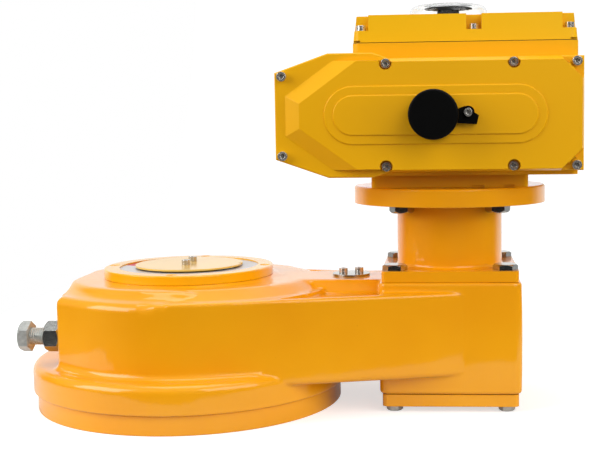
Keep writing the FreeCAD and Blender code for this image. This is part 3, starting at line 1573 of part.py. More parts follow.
def motor():
    """Motor in the barrel, with the hole for its shaft."""
    body = bar(motor_r, motor_front_y, motor_back_y, motor_x, head_mid_z)
    seat = bar(motor_r + motor_room_gap, motor_front_y, motor_front_y + motor_seat_width, motor_x, head_mid_z)
    groove = tube(motor_r + 1, motor_r - motor_groove_depth, motor_front_y + motor_groove_front,
                  motor_back_y - motor_groove_back, motor_x, head_mid_z)
    shaft_hole = bar(motor_shaft_r + running_clearance, motor_front_y - 1, motor_back_y - motor_shaft_end,
                     motor_x, head_mid_z)
    return fuse_all([body, seat]).cut([groove, shaft_hole])


def motor_shaft():
    return bar(motor_shaft_r, train_gear_front, motor_back_y - motor_shaft_end - 1, motor_x, head_mid_z)


def hand_shaft():
    """Shaft of the hand drive, with a hexagon socket for the key at its front end."""
    body = bar(hand_shaft_r, hand_shaft_front, bulkhead_back_y, hand_x, head_mid_z)
    socket = facing_front(hex_prism(hand_socket_flats, hand_socket_depth), hand_x,
                          hand_shaft_front + hand_socket_depth, head_mid_z)
    return body.cut(socket)


def hand_bushes():
    front = tube(hand_bush_r, hand_shaft_r + running_clearance, joint_y - front_bush_length, joint_y,
                 hand_x, head_mid_z)
    rear = tube(hand_bush_r, hand_shaft_r + running_clearance, chamber_front_y, bulkhead_back_y,
                hand_x, head_mid_z)
    return group([front, rear])


# Rubber cap

def rubber_cap():
    """Cap over the hand drive; it pulls off to the front."""
    front = cap_back_y - cap_length
    body = bar(cap_r, front, cap_back_y, hand_x, head_mid_z)
    edge = [e for e in body.Edges if abs(e.BoundBox.YMax - front) < 0.01]
    body = body.makeFillet(2.0, edge)
    hollow = bar(cap_r - cap_wall, front + cap_wall, cap_back_y + 1, hand_x, head_mid_z)
    return body.cut(hollow)


def cap_strap():
    """Rubber tab that keeps the cap on the cover when it is off."""
    x, z = strap_screw_place()
    back = stadium_front_y - strap_post_height
    front = back - strap_thick
    tab = slab([(hand_x + dx, head_mid_z + dz) for dx, dz in strap_tab], front, back)
    body = fuse_all([tab, bar(strap_eye_r, front, back, x, z)])
    body = body.cut(bar(cap_r + face_gap, front - 1, back + 1, hand_x, head_mid_z))
    return body.cut(bar(hole_r(M5_CAP), front - 1, back + 1, x, z))


def strap_screw():
    x, z = strap_screw_place()
    front = stadium_front_y - strap_post_height - strap_thick
    return facing_front(cap_screw(M5_CAP, strap_thick + small_tap_depth - 2), x, front, z)


# Switch gear

def deck_plate():
    """Plate over the worm room; it steadies the shaft and carries the switches."""
    x0 = body_left + body_wall + deck_gap
    x1 = body_right - body_wall - deck_gap
    body = block(x0, x1, bulkhead_back_y + deck_gap, body_back - body_wall - deck_gap,
                 deck_bottom, deck_bottom + deck_thick)
    posts = [cylinder(top_boss_r + deck_gap, 0, body_top, x, y) for x, y in top_screw_places() if y > 0]
    return cut_all(body, posts + [cylinder(upper_shaft_r + running_clearance, 0, body_top, head_x)])


def switch_cams():
    """Two adjustable cams clamped on the shaft, each with a flat that lets a switch go."""
    cams = []
    for level in range(2):
        low = cam_low_z + level * cam_pitch
        disc = ring(cam_r, upper_shaft_r, low, low + cam_thick, head_x)
        flat = block(head_x - cam_r, head_x - cam_r + cam_flat, -cam_r, cam_r, low - 1, low + cam_thick + 1)
        cams.append(disc.cut(flat))
    return group(cams)


def switch_bracket():
    """Angle bracket on the deck that holds the switches beside the cams."""
    x0 = head_x - cam_r - switch_gap - switch_depth - bracket_thick
    top = cam_low_z + cam_pitch + cam_thick + switch_height
    upright = block(x0, x0 + bracket_thick, -switch_length / 2, switch_length / 2,
                    deck_bottom + deck_thick, top)
    foot = block(x0 - bracket_foot, x0 + bracket_thick, -switch_length / 2, switch_length / 2,
                 deck_bottom + deck_thick, deck_bottom + deck_thick + bracket_thick)
    return fuse_all([upright, foot])


def limit_switches():
    x1 = head_x - cam_r - switch_gap
    switches = []
    for level in range(2):
        low = cam_low_z + level * cam_pitch - (switch_height - cam_thick) / 2
        switches.append(block(x1 - switch_depth, x1, -switch_length / 2, switch_length / 2,
                              low, low + switch_height))
    return group(switches)


NODES = {
    "base_flange": base_flange,
    "base_screws": base_screws,
    "base_gasket": base_gasket,
    "gear_housing": gear_housing,
    "indicator_ring": indicator_ring,
    "ring_screws": ring_screws,
    "scale_plate": scale_plate,
    "pointer_disc": pointer_disc,
    "pointer_screws": pointer_screws,
    "drive_sleeve": drive_sleeve,
    "quadrant_gear": quadrant_gear,
    "quadrant_key": quadrant_key,
    "lower_bush": lower_bush,
    "upper_bush": upper_bush,
    "sleeve_seals": sleeve_seals,
    "stop_screw_front": lambda: stop_screw(-1),
    "stop_screw_rear": lambda: stop_screw(1),
    "lock_nuts": lock_nuts,
    "idler_pin": idler_pin,
    "keeper_plate": keeper_plate,
    "keeper_screws": keeper_screws,
    "idler_bush": idler_bush,
    "idler_pinion": idler_pinion,
    "idler_gear": idler_gear,
    "input_pinion": input_pinion,
    "lower_bearing": lambda: input_bearing(lower_bearing_bottom),
    "upper_bearing": lambda: input_bearing(upper_bearing_bottom),
    "bottom_cover": bottom_cover,
    "bottom_gasket": cover_gasket,
    "bottom_bolts": bottom_bolts,
    "adapter_stand": adapter_stand,
    "adapter_bolts": adapter_bolts,
    "head_bolts": head_bolts,
    "shaft_coupling": shaft_coupling,
    "head_housing": head_housing,
    "gear_cover": gear_cover,
    "cover_screws": cover_screws,
    "top_cover": top_cover,
    "top_cover_screws": top_cover_screws,
    "top_gasket": head_gaskets,
    "sight_dome": sight_dome,
    "indicator_dial": indicator_dial,
    "head_shaft": head_shaft,
    "head_bush": head_bush,
    "worm_wheel": worm_wheel,
    "worm_shaft": worm_shaft,
    "worm_bearings": worm_bearings,
    "worm_gear": worm_gear,
    "motor": motor,
    "motor_shaft": motor_shaft,
    "motor_gear": motor_gear,
    "hand_shaft": hand_shaft,
    "hand_bushes": hand_bushes,
    "hand_gear": hand_gear,
    "rubber_cap": rubber_cap,
    "cap_strap": cap_strap,
    "strap_screw": strap_screw,
    "deck_plate": deck_plate,
    "switch_cams": switch_cams,
    "switch_unit": lambda: group([switch_bracket()] + limit_switches().Solids),
}

os.makedirs("parts", exist_ok=True)
for name, make in NODES.items():
    shape = make()
    shape.exportStep("parts/" + name + ".step")
    print(name, len(shape.Solids), shape.isValid(), round(shape.Volume / 1000, 1), "cm3")
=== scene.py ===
# %% [markdown]
# A quarter-turn electric actuator stands on a white table: a cast iron gearbox with a round valve
# flange, an adapter with a square foot and a round top, and a die-cast electric head. The CAD
# model gives every shape its true size, so this lesson only adds what the eye needs: paint that
# looks like paint, steel that looks like steel, cut threads, and plain studio light.

# %% The frame
import math

import bmesh
import bpy
from mathutils import Matrix, Vector, noise


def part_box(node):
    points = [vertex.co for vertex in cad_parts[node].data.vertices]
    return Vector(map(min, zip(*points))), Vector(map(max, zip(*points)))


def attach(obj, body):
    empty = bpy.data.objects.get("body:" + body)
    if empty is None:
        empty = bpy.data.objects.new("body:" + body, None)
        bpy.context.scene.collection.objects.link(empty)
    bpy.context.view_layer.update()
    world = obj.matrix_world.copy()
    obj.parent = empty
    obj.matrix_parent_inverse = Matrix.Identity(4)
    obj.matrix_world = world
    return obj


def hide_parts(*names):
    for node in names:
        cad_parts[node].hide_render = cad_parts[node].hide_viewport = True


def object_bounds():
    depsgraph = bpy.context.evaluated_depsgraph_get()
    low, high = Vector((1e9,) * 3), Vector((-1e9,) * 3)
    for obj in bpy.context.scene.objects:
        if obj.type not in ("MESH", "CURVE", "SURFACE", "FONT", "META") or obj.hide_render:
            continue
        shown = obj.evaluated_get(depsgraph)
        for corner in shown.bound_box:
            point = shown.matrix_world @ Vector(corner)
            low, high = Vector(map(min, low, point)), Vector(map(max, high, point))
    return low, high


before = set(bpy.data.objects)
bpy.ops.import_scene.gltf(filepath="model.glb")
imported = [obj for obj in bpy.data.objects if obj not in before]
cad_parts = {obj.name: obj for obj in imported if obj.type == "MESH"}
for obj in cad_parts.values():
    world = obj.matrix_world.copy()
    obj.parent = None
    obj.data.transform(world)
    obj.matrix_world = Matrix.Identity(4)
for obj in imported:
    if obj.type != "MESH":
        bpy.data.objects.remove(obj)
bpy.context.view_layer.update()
MM = 0.001

# %% [markdown]
# The camera comes first, because every later choice is judged through it. The photograph was
# taken with a long lens from a little above the table. Where it stood was worked out from the
# round flange, whose ellipses give the tilt, and from the upright edges, which give the roll. The
# optical axis lies right of the middle of the frame, so the camera is shifted by that much.

# %% Camera
PICTURE_WIDTH = 600.0
SENSOR_MM = 36.0
FOCAL_PIXELS = 1106.667
AXIS_PIXEL = 370.0
CAMERA_PLACE = (0.29602, -1.27021, 0.31592)
CAMERA_YAW = 0.0658
CAMERA_TILT = 0.08993
CAMERA_ROLL = -0.01209


def camera_axes():
    """Right, up and forward directions of the camera in the row frame."""
    right = Vector((math.cos(CAMERA_YAW), math.sin(CAMERA_YAW), 0.0))
    level = Vector((-math.sin(CAMERA_YAW), math.cos(CAMERA_YAW), 0.0))
    upright = Vector((0.0, 0.0, 1.0))
    forward = level * math.cos(CAMERA_TILT) - upright * math.sin(CAMERA_TILT)
    up = upright * math.cos(CAMERA_TILT) + level * math.sin(CAMERA_TILT)
    rolled_right = right * math.cos(CAMERA_ROLL) + up * math.sin(CAMERA_ROLL)
    rolled_up = up * math.cos(CAMERA_ROLL) - right * math.sin(CAMERA_ROLL)
    return rolled_right, rolled_up, forward


def make_camera():
    lens = bpy.data.cameras.new("camera")
    lens.sensor_width = SENSOR_MM
    lens.lens = FOCAL_PIXELS / PICTURE_WIDTH * SENSOR_MM
    lens.shift_x = (PICTURE_WIDTH / 2 - AXIS_PIXEL) / PICTURE_WIDTH
    lens.clip_start = 0.05
    lens.clip_end = 50.0
    camera = bpy.data.objects.new("camera", lens)
    bpy.context.scene.collection.objects.link(camera)
    right, up, forward = camera_axes()
    turn = Matrix((right, up, -forward)).transposed().to_4x4()
    camera.matrix_world = Matrix.Translation(CAMERA_PLACE) @ turn
    bpy.context.scene.camera = camera
    return camera


camera = make_camera()
print("lens in mm:", round(camera.data.lens, 1), "shift:", round(camera.data.shift_x, 4))

# %% [markdown]
# Colours are written as on a paint card, in sRGB hex, and one function turns them into the linear
# numbers that the shader wants. One more function adds a node with its settings and links.
# Pattern scales are worked out from millimetres, because object coordinates are metres: a noise
# of scale 500 has lumps about 2 mm wide.

# %% Colour and node helpers

def linear(hex_colour):
    """sRGB hex such as F2A10C as a linear colour with alpha."""
    parts = [int(hex_colour[k:k + 2], 16) / 255 for k in (0, 2, 4)]
    curve = [p / 12.92 if p <= 0.04045 else ((p + 0.055) / 1.055) ** 2.4 for p in parts]
    return (*curve, 1.0)


def scale_for(width_mm):
    """Texture scale whose features are about this wide."""
    return 1.0 / (width_mm * MM)


def add(tree, kind, settings=None, inputs=None):
    """One node with its settings; an input takes a value, or the output that feeds it."""
    made = tree.nodes.new(kind)
    for name, value in (settings or {}).items():
        setattr(made, name, value)
    for name, value in (inputs or {}).items():
        if isinstance(value, bpy.types.NodeSocket):
            tree.links.new(value, made.inputs[name])
        else:
            made.inputs[name].default_value = value
    return made


def new_finish(name, **sockets):
    """A material with one Principled shader; sockets are named as in Blender, _ for spaces."""
    material = bpy.data.materials.new(name)
    material.use_nodes = True
    shader = material.node_tree.nodes["Principled BSDF"]
    for socket, value in sockets.items():
        shader.inputs[socket.replace("_", " ")].default_value = value
    return material, material.node_tree, shader


# %% [markdown]
# The gearbox and the adapter are sand-cast iron under sprayed two-part enamel. The casting leaves
# slow waves a few centimetres long, the spray leaves orange peel a couple of millimetres wide,
# and the gloss clear top of the film mirrors the white room at a slant. So the colour sits under
# a coat, and both bumps are small: you see them in the highlights and not in the colour. A few
# dust specks and slightly deeper colour where the film is thick keep it from looking like
# plastic.

# %% Gearbox enamel
CAST_WAVE_MM, CAST_WAVE_DEPTH_MM = 34.0, 0.9
ORANGE_PEEL_MM, ORANGE_PEEL_DEPTH_MM = 2.6, 0.05
ENAMEL_EDGE_MM = 1.4
FILM_TONE_MM = 120.0
FILM_TONE_SPAN = (0.35, 0.68)
DUST_MM = 9.0
DUST_SPECK = 0.028
DUST_CLUMP_MM = 28.0
DUST_CLUMP_FROM = 0.6


def gloss_enamel(name, dark, light):
    """Enamel under its own clear gloss, in a tone between two colours."""
    material, tree, shader = new_finish(
        name, Roughness=0.42, IOR=1.5, Specular_IOR_Level=0.2, Coat_Weight=0.9, Coat_Roughness=0.07,
        Coat_IOR=1.48)
    place = add(tree, "ShaderNodeTexCoord").outputs["Object"]
    tone = add(tree, "ShaderNodeTexNoise", {}, {
        "Vector": place, "Scale": scale_for(FILM_TONE_MM), "Detail": 2.0})
    film = add(tree, "ShaderNodeValToRGB", {}, {"Fac": tone.outputs["Fac"]})
    for stop, position, colour in zip(film.color_ramp.elements, FILM_TONE_SPAN, (dark, light)):
        stop.position = position
        stop.color = linear(colour)
    dust = add(tree, "ShaderNodeTexVoronoi", {"feature": "F1"}, {
        "Vector": place, "Scale": scale_for(DUST_MM), "Randomness": 1.0})
    speck = add(tree, "ShaderNodeMath", {"operation": "LESS_THAN"}, {
        0: dust.outputs["Distance"], 1: DUST_SPECK})
    sparse = add(tree, "ShaderNodeTexNoise", {}, {
        "Vector": place, "Scale": scale_for(DUST_CLUMP_MM)})
    some = add(tree, "ShaderNodeMath", {"operation": "GREATER_THAN"}, {
        0: sparse.outputs["Fac"], 1: DUST_CLUMP_FROM})
    shown = add(tree, "ShaderNodeMath", {"operation": "MULTIPLY"}, {
        0: speck.outputs[0], 1: some.outputs[0]})
    specked = add(tree, "ShaderNodeMix", {"data_type": "RGBA"}, {
        0: shown.outputs[0], "A": film.outputs["Color"], "B": linear("8A5A08")})
    tree.links.new(specked.outputs["Result"], shader.inputs["Base Color"])
    soft_edges = add(tree, "ShaderNodeBevel", {"samples": 4}, {"Radius": ENAMEL_EDGE_MM * MM})
    wave = add(tree, "ShaderNodeTexNoise", {}, {
        "Vector": place, "Scale": scale_for(CAST_WAVE_MM), "Detail": 1.0})
    cast = add(tree, "ShaderNodeBump", {}, {
        "Height": wave.outputs["Fac"], "Distance": CAST_WAVE_DEPTH_MM * MM, "Strength": 0.55,
        "Normal": soft_edges.outputs["Normal"]})
    peel = add(tree, "ShaderNodeTexNoise", {}, {
        "Vector": place, "Scale": scale_for(ORANGE_PEEL_MM), "Detail": 1.0})
    skin = add(tree, "ShaderNodeBump", {}, {
        "Height": peel.outputs["Fac"], "Distance": ORANGE_PEEL_DEPTH_MM * MM, "Strength": 0.4,
        "Normal": cast.outputs["Normal"]})
    tree.links.new(skin.outputs["Normal"], shader.inputs["Normal"])
    tree.links.new(skin.outputs["Normal"], shader.inputs["Coat Normal"])
    return material


def gearbox_enamel():
    return gloss_enamel("gloss_enamel_on_cast_iron", "EF9D00", "F4A602")


# %% [markdown]
# The head is die-cast aluminium under baked powder coat. Die casting is smooth and crisp, and
# powder flows into a satin film, so this yellow is a little greener and much less glossy than the
# gearbox enamel. Its peel is finer, and there are no casting waves.

# %% Head powder coat
POWDER_PEEL_MM, POWDER_PEEL_DEPTH_MM = 1.1, 0.02
POWDER_EDGE_MM = 0.9


def powder_coat(name, dark, light):
    """Satin powder coat; each casting was sprayed by itself, so its tone differs a little."""
    material, tree, shader = new_finish(name, Roughness=0.38, IOR=1.5, Specular_IOR_Level=0.2)
    place = add(tree, "ShaderNodeTexCoord").outputs["Object"]
    tone = add(tree, "ShaderNodeTexNoise", {}, {
        "Vector": place, "Scale": scale_for(FILM_TONE_MM), "Detail": 2.0})
    film = add(tree, "ShaderNodeMix", {"data_type": "RGBA"}, {
        0: tone.outputs["Fac"], "A": linear(dark), "B": linear(light)})
    tree.links.new(film.outputs["Result"], shader.inputs["Base Color"])
    soft_edges = add(tree, "ShaderNodeBevel", {"samples": 4}, {"Radius": POWDER_EDGE_MM * MM})
    peel = add(tree, "ShaderNodeTexNoise", {}, {
        "Vector": place, "Scale": scale_for(POWDER_PEEL_MM), "Detail": 2.0})
    skin = add(tree, "ShaderNodeBump", {}, {
        "Height": peel.outputs["Fac"], "Distance": POWDER_PEEL_DEPTH_MM * MM, "Strength": 0.4,
        "Normal": soft_edges.outputs["Normal"]})
    tree.links.new(skin.outputs["Normal"], shader.inputs["Normal"])
    return material


def head_enamel():
    return powder_coat("satin_powder_coat_on_die_cast", "EFAC02", "F3B106")


# %% [markdown]
# The pointer disc is thin steel sprayed with the same yellow but seen almost edge-on, where it
# mirrors the white room and looks pale. A smoother enamel with a paler base colour, a painted
# reflection of the white room, does the same from every side.

# %% Pointer enamel
POINTER_TONE_MM = 40.0
POINTER_EDGE_MM = 0.4


def pointer_enamel():
    material, tree, shader = new_finish(
        "enamel_with_painted_reflection_on_sheet_steel", Roughness=0.3, IOR=1.5, Coat_Weight=0.5, Coat_Roughness=0.12)
    place = add(tree, "ShaderNodeTexCoord").outputs["Object"]
    tone = add(tree, "ShaderNodeTexNoise", {}, {
        "Vector": place, "Scale": scale_for(POINTER_TONE_MM)})
    # Painted reflection: the two pale yellows stand for the white room mirrored in the disc.
    film = add(tree, "ShaderNodeMix", {"data_type": "RGBA"}, {
        0: tone.outputs["Fac"], "A": linear("E9BA50"), "B": linear("EEC460")})
    tree.links.new(film.outputs["Result"], shader.inputs["Base Color"])
    soft_edges = add(tree, "ShaderNodeBevel", {"samples": 4}, {"Radius": POINTER_EDGE_MM * MM})
    tree.links.new(soft_edges.outputs["Normal"], shader.inputs["Normal"])
    return material


# %% [markdown]
# Bare metals differ mostly in tone and in how their surface was made. Zinc plating is a cloudy,
# light grey film on rolled steel. Stainless screws are bright and clean. Cut gear steel is dark and
# keeps fine tool lines. One function takes the tone, the roughness and the width of the marks, so
# each metal is one line that says what it is.

# %% Metals

def metal(name, dark, light, roughness, mark_mm, stretch=(1.0, 1.0, 1.0), depth_mm=0.01,
          edge_mm=0.5, bloom=0.0):
    """Metal in a cloudy tone between two colours, with marks of one width that may be drawn out;
    bloom is the share of the surface that a matt film hides."""
    material, tree, shader = new_finish(name, Metallic=1.0 - bloom, Roughness=roughness)
    place = add(tree, "ShaderNodeTexCoord").outputs["Object"]
    drawn = add(tree, "ShaderNodeMapping", {}, {"Vector": place, "Scale": stretch})
    marks = add(tree, "ShaderNodeTexNoise", {}, {
        "Vector": drawn.outputs["Vector"], "Scale": scale_for(mark_mm), "Detail": 3.0})
    film = add(tree, "ShaderNodeMix", {"data_type": "RGBA"}, {
        0: marks.outputs["Fac"], "A": linear(dark), "B": linear(light)})
    tree.links.new(film.outputs["Result"], shader.inputs["Base Color"])
    cloud = add(tree, "ShaderNodeMapRange", {}, {
        "Value": marks.outputs["Fac"], "To Min": roughness * 0.8, "To Max": roughness * 1.25})
    tree.links.new(cloud.outputs["Result"], shader.inputs["Roughness"])
    soft_edges = add(tree, "ShaderNodeBevel", {"samples": 4}, {"Radius": edge_mm * MM})
    relief = add(tree, "ShaderNodeBump", {}, {
        "Height": marks.outputs["Fac"], "Distance": depth_mm * MM, "Strength": 0.6,
        "Normal": soft_edges.outputs["Normal"]})
    tree.links.new(relief.outputs["Normal"], shader.inputs["Normal"])
    return material


def zinc_steel():
    """Rolled steel bolts, electroplated with zinc: grey, cloudy, half bright."""
    return metal("zinc_plated_steel", "A4A5A1", "D3D4D0", 0.22, 3.0)


def dull_zinc():
    """The stop screws' zinc, handled and weathered: a pale bloom over the metal, half matt."""
    return metal("weathered_zinc_plating", "979A96", "DDDFDB", 0.34, 4.0, bloom=0.42)


def stainless_steel():
    """Turned stainless socket screws: bright and clean, with fine marks."""
    return metal("turned_stainless_steel", "C2BDB4", "EAE7E1", 0.22, 0.8, edge_mm=0.9, bloom=0.2)


def gear_steel():
    """Hobbed and hardened steel gears: dark grey with tool lines up the flanks."""
    return metal("hobbed_gear_steel", "6C6F72", "8F9396", 0.3, 1.2, (1.0, 1.0, 0.15))


def bearing_steel():
    """Ground bearing rings: almost a mirror."""
    return metal("ground_bearing_steel", "A4A8AB", "C8CBCD", 0.16, 1.5)


def ductile_iron():
    """Machined ductile iron: dull, with open grain."""
    return metal("machined_ductile_iron", "4E4F50", "6E7072", 0.48, 1.6, depth_mm=0.03)


def bronze():
    """Cast and turned bronze: warm, lightly tarnished."""
    return metal("turned_bronze", "9C6F35", "C08B48", 0.34, 2.0)


def motor_can():
    """Drawn and brushed aluminium can of the motor."""
    return metal("brushed_aluminium_can", "9DA0A2", "BEC1C2", 0.38, 1.5, (1.0, 0.1, 1.0))


# %% [markdown]
# The scale plate is a thin aluminium ring with a printed red mark at the closed end, which
# narrows a little from the disc to the rim. Printing is paint in a stencil, so its place is
# worked out from the angle and the distance to the stem axis, and it is dull where the bare plate
# shines. Each of the two widths is half the mark's angle at one end of its reach.

# %% Printed scale plate
RED_MIDDLE_DEG = 152.0
RED_HALF_DEG = (27.0, 19.0)
RED_REACH_MM = (60.0, 80.0)
PLATE_GRAIN_MM = 1.2
PLATE_METALLIC = 0.6


def scale_aluminium():
    material, tree, shader = new_finish("printed_anodised_plate", Roughness=0.4)
    place = add(tree, "ShaderNodeTexCoord").outputs["Object"]
    split = add(tree, "ShaderNodeSeparateXYZ", {}, {"Vector": place})
    angle = add(tree, "ShaderNodeMath", {"operation": "ARCTAN2"}, {
        0: split.outputs["Y"], 1: split.outputs["X"]})
    off = add(tree, "ShaderNodeMath", {"operation": "SUBTRACT"}, {
        0: angle.outputs[0], 1: math.radians(RED_MIDDLE_DEG)})
    size = add(tree, "ShaderNodeMath", {"operation": "ABSOLUTE"}, {0: off.outputs[0]})
    level = add(tree, "ShaderNodeCombineXYZ", {}, {
        "X": split.outputs["X"], "Y": split.outputs["Y"]})
    radius = add(tree, "ShaderNodeVectorMath", {"operation": "LENGTH"}, {
        0: level.outputs["Vector"]})
    wedge = add(tree, "ShaderNodeMapRange", {}, {
        "Value": radius.outputs["Value"],
        "From Min": RED_REACH_MM[0] * MM, "From Max": RED_REACH_MM[1] * MM,
        "To Min": math.radians(RED_HALF_DEG[0]), "To Max": math.radians(RED_HALF_DEG[1])})
    inside = add(tree, "ShaderNodeMath", {"operation": "LESS_THAN"}, {
        0: size.outputs[0], 1: wedge.outputs["Result"]})
    brushed = add(tree, "ShaderNodeTexNoise", {}, {
        "Vector": place, "Scale": scale_for(PLATE_GRAIN_MM), "Detail": 3.0})
    plate = add(tree, "ShaderNodeMix", {"data_type": "RGBA"}, {
        0: brushed.outputs["Fac"], "A": linear("CAC8C9"), "B": linear("DBD9DA")})
    print_mix = add(tree, "ShaderNodeMix", {"data_type": "RGBA"}, {
        0: inside.outputs[0], "A": plate.outputs["Result"], "B": linear("C4203A")})
    tree.links.new(print_mix.outputs["Result"], shader.inputs["Base Color"])
    bare = add(tree, "ShaderNodeMath", {"operation": "SUBTRACT"}, {0: 1.0, 1: inside.outputs[0]})
    shine = add(tree, "ShaderNodeMath", {"operation": "MULTIPLY"}, {
        0: bare.outputs[0], 1: PLATE_METALLIC})
    tree.links.new(shine.outputs[0], shader.inputs["Metallic"])
    return material


# %% [markdown]
# The soft and clear pieces: the moulded rubber cap is matt black with the fine texture of its
# mould, the gaskets are dark pressed fibre sheet, the dial is moulded black plastic with a slight
# shine, and the sight dome is clear polycarbonate, whose edges gather the light as in a lens.
# Polycarbonate has an IOR of 1.58, but the dome in the photograph is hardly seen against the
# white wall, and 1.3 gives that faint outline.

# %% Rubber, sheet, plastic and the clear dome
MOULDED_EDGE_MM = 0.6
DOME_FLOW_MM, DOME_FLOW_DEPTH_MM = 18.0, 0.05


def moulded(name, dark, light, roughness, grain_mm, depth_mm, **sockets):
    """Moulded or pressed material: two close tones and a fine grain of one width."""
    material, tree, shader = new_finish(name, Roughness=roughness, **sockets)
    place = add(tree, "ShaderNodeTexCoord").outputs["Object"]
    grain = add(tree, "ShaderNodeTexNoise", {}, {
        "Vector": place, "Scale": scale_for(grain_mm), "Detail": 3.0})
    tone = add(tree, "ShaderNodeMix", {"data_type": "RGBA"}, {
        0: grain.outputs["Fac"], "A": linear(dark), "B": linear(light)})
    tree.links.new(tone.outputs["Result"], shader.inputs["Base Color"])
    soft_edges = add(tree, "ShaderNodeBevel", {"samples": 4}, {"Radius": MOULDED_EDGE_MM * MM})
    relief = add(tree, "ShaderNodeBump", {}, {
        "Height": grain.outputs["Fac"], "Distance": depth_mm * MM, "Strength": 0.7,
        "Normal": soft_edges.outputs["Normal"]})
    tree.links.new(relief.outputs["Normal"], shader.inputs["Normal"])
    return material


def black_rubber():
    return moulded("moulded_black_rubber", "030303", "060606", 0.45, 0.9, 0.03, IOR=1.5,
                   Specular_IOR_Level=0.12)


def gasket_sheet():
    return moulded("pressed_fibre_sheet", "2A2620", "3B362E", 0.8, 0.7, 0.03, IOR=1.5)


def black_plastic():
    return moulded("moulded_black_plastic", "050506", "0A0A0B", 0.6, 1.4, 0.01, IOR=1.53,
                   Specular_IOR_Level=0.08)


def clear_polycarbonate():
    material, tree, shader = new_finish(
        "clear_polycarbonate", Base_Color=linear("FCFDFD"), Roughness=0.02, IOR=1.3,
        Transmission_Weight=1.0)
    place = add(tree, "ShaderNodeTexCoord").outputs["Object"]
    flow = add(tree, "ShaderNodeTexNoise", {}, {"Vector": place, "Scale": scale_for(DOME_FLOW_MM)})
    ripple = add(tree, "ShaderNodeBump", {}, {
        "Height": flow.outputs["Fac"], "Distance": DOME_FLOW_DEPTH_MM * MM, "Strength": 0.3})
    tree.links.new(ripple.outputs["Normal"], shader.inputs["Normal"])
    return material


# %% [markdown]
# Every CAD piece came in with the name of its material slot, so dressing the model is one loop:
# look up the slot, hand over the finish. The indicator ring and the top cover were sprayed by
# themselves and came out a little yellower.

# %% Dress the CAD pieces
MAKERS = (gearbox_enamel, head_enamel, pointer_enamel, zinc_steel, dull_zinc, stainless_steel,
          gear_steel, bearing_steel, ductile_iron, bronze, gasket_sheet, black_rubber,
          scale_aluminium, clear_polycarbonate, black_plastic, motor_can)
FINISH = {make.__name__: make() for make in MAKERS}

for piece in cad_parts.values():
    slot_name = piece.material_slots[0].material.name
    piece.material_slots[0].material = FINISH[slot_name]
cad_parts["indicator_ring"].material_slots[0].material = gloss_enamel(
    "gloss_enamel_on_ring", "F4AF02", "F8B606")
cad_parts["top_cover"].material_slots[0].material = powder_coat(
    "satin_powder_coat_on_top_cover", "EFB404", "F3B908")
print("dressed", len(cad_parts), "pieces with", len(FINISH), "finishes")

# %% [markdown]
# A sand casting has no crisp edge: the sand rounds each corner, and faces run into each other
# softly. The CAD solid gives the exact form but meets in creases, so a skin is grown over it. A
# voxel remesh turns the mesh into an even net, a few rounds of smoothing pull every corner to a
# small radius, and more rounds go where the form changes: at the shoulder of the round end, and
# where the raised table runs out into the arm. The sizes and the tests for those places come first.

# %% Casting skin of the gearbox
SKIN_VOXEL = 1.5 * MM
SKIN_ROUNDS = 2
SOFT_ROUNDS = 34
SKIN_WAVE = 0.22 * MM
SKIN_WAVE_WIDTH = 38.0 * MM
SKIN_KEEP = 0.22
EVEN_SHADING = 80
SHOULDER_X, SHOULDER_HALF_X = -5.0 * MM, 16.0 * MM
SHOULDER_FROM_Z, SHOULDER_FROM_REACH = 112.0 * MM, 100.0 * MM
RUN_OUT_FROM_X, RUN_OUT_TO_X, RUN_OUT_HALF_Y = 92.0 * MM, 150.0 * MM, 84.0 * MM
RUN_OUT_FROM_Z, RUN_OUT_FROM_REACH = 118.0 * MM, 104.0 * MM


def on_shoulder(point, reach):
    """Whether the point is where the round end goes over into the arm."""
    near = abs(point.x - SHOULDER_X) < SHOULDER_HALF_X
    return near and point.z > SHOULDER_FROM_Z and reach > SHOULDER_FROM_REACH


def on_run_out(point, reach):
    """Whether the point is where the raised table runs into the top of the arm."""
    near = RUN_OUT_FROM_X < point.x < RUN_OUT_TO_X and abs(point.y) < RUN_OUT_HALF_Y
    return near and point.z > RUN_OUT_FROM_Z and reach > RUN_OUT_FROM_REACH


def is_soft(point):
    """Whether the form changes here and the casting flows over it."""
    reach = math.hypot(point.x, point.y)
    return on_shoulder(point, reach) or on_run_out(point, reach)


# %% [markdown]
# The raised table on the casting is level to its edge, and a cove leads down from there to the
# shoulder. A ring with that profile is laid round the solid, and the remesh melts both into one
# skin. Each point of the profile is a reach from the stem axis and a height, in millimetres.
# Towards the arm the ring sinks into the solid, and at the flat end it is cut off upright with a
# round top.

# %% Edge of the raised table
TABLE_EDGE = ((96.0, 122.0), (96.0, 144.9), (127.0, 144.7), (131.0, 144.1), (133.6, 142.1),
              (136.5, 138.4), (141.0, 135.4), (150.0, 133.0), (150.0, 122.0))
TABLE_STEPS = 180
TABLE_RUN_OUT = 70.0
TABLE_SINK = 7.0
FLAT_END_X = -125.8
FLAT_END_ROUND = 0.7
FLAT_END_ROUND_Z = 141.0


def add_table_edge(mesh):
    """Ring that fills the table out to its edge and coves down to the shoulder."""
    rings = []
    for reach, height in TABLE_EDGE:
        ring = []
        for step in range(TABLE_STEPS):
            angle = 2 * math.pi * step / TABLE_STEPS
            x, y = reach * math.cos(angle), reach * math.sin(angle)
            run = min(max(x / TABLE_RUN_OUT, 0.0), 1.0)
            z = height - TABLE_SINK * run * run * (3.0 - 2.0 * run)
            limit = FLAT_END_X + FLAT_END_ROUND * max(0.0, height - FLAT_END_ROUND_Z)
            ring.append(mesh.verts.new(Vector((max(x, limit), y, z)) * MM))
        rings.append(ring)
    for lower, upper in zip(rings, rings[1:] + rings[:1]):
        for k in range(TABLE_STEPS):
            after = (k + 1) % TABLE_STEPS
            mesh.faces.new((lower[k], upper[k], upper[after], lower[after]))


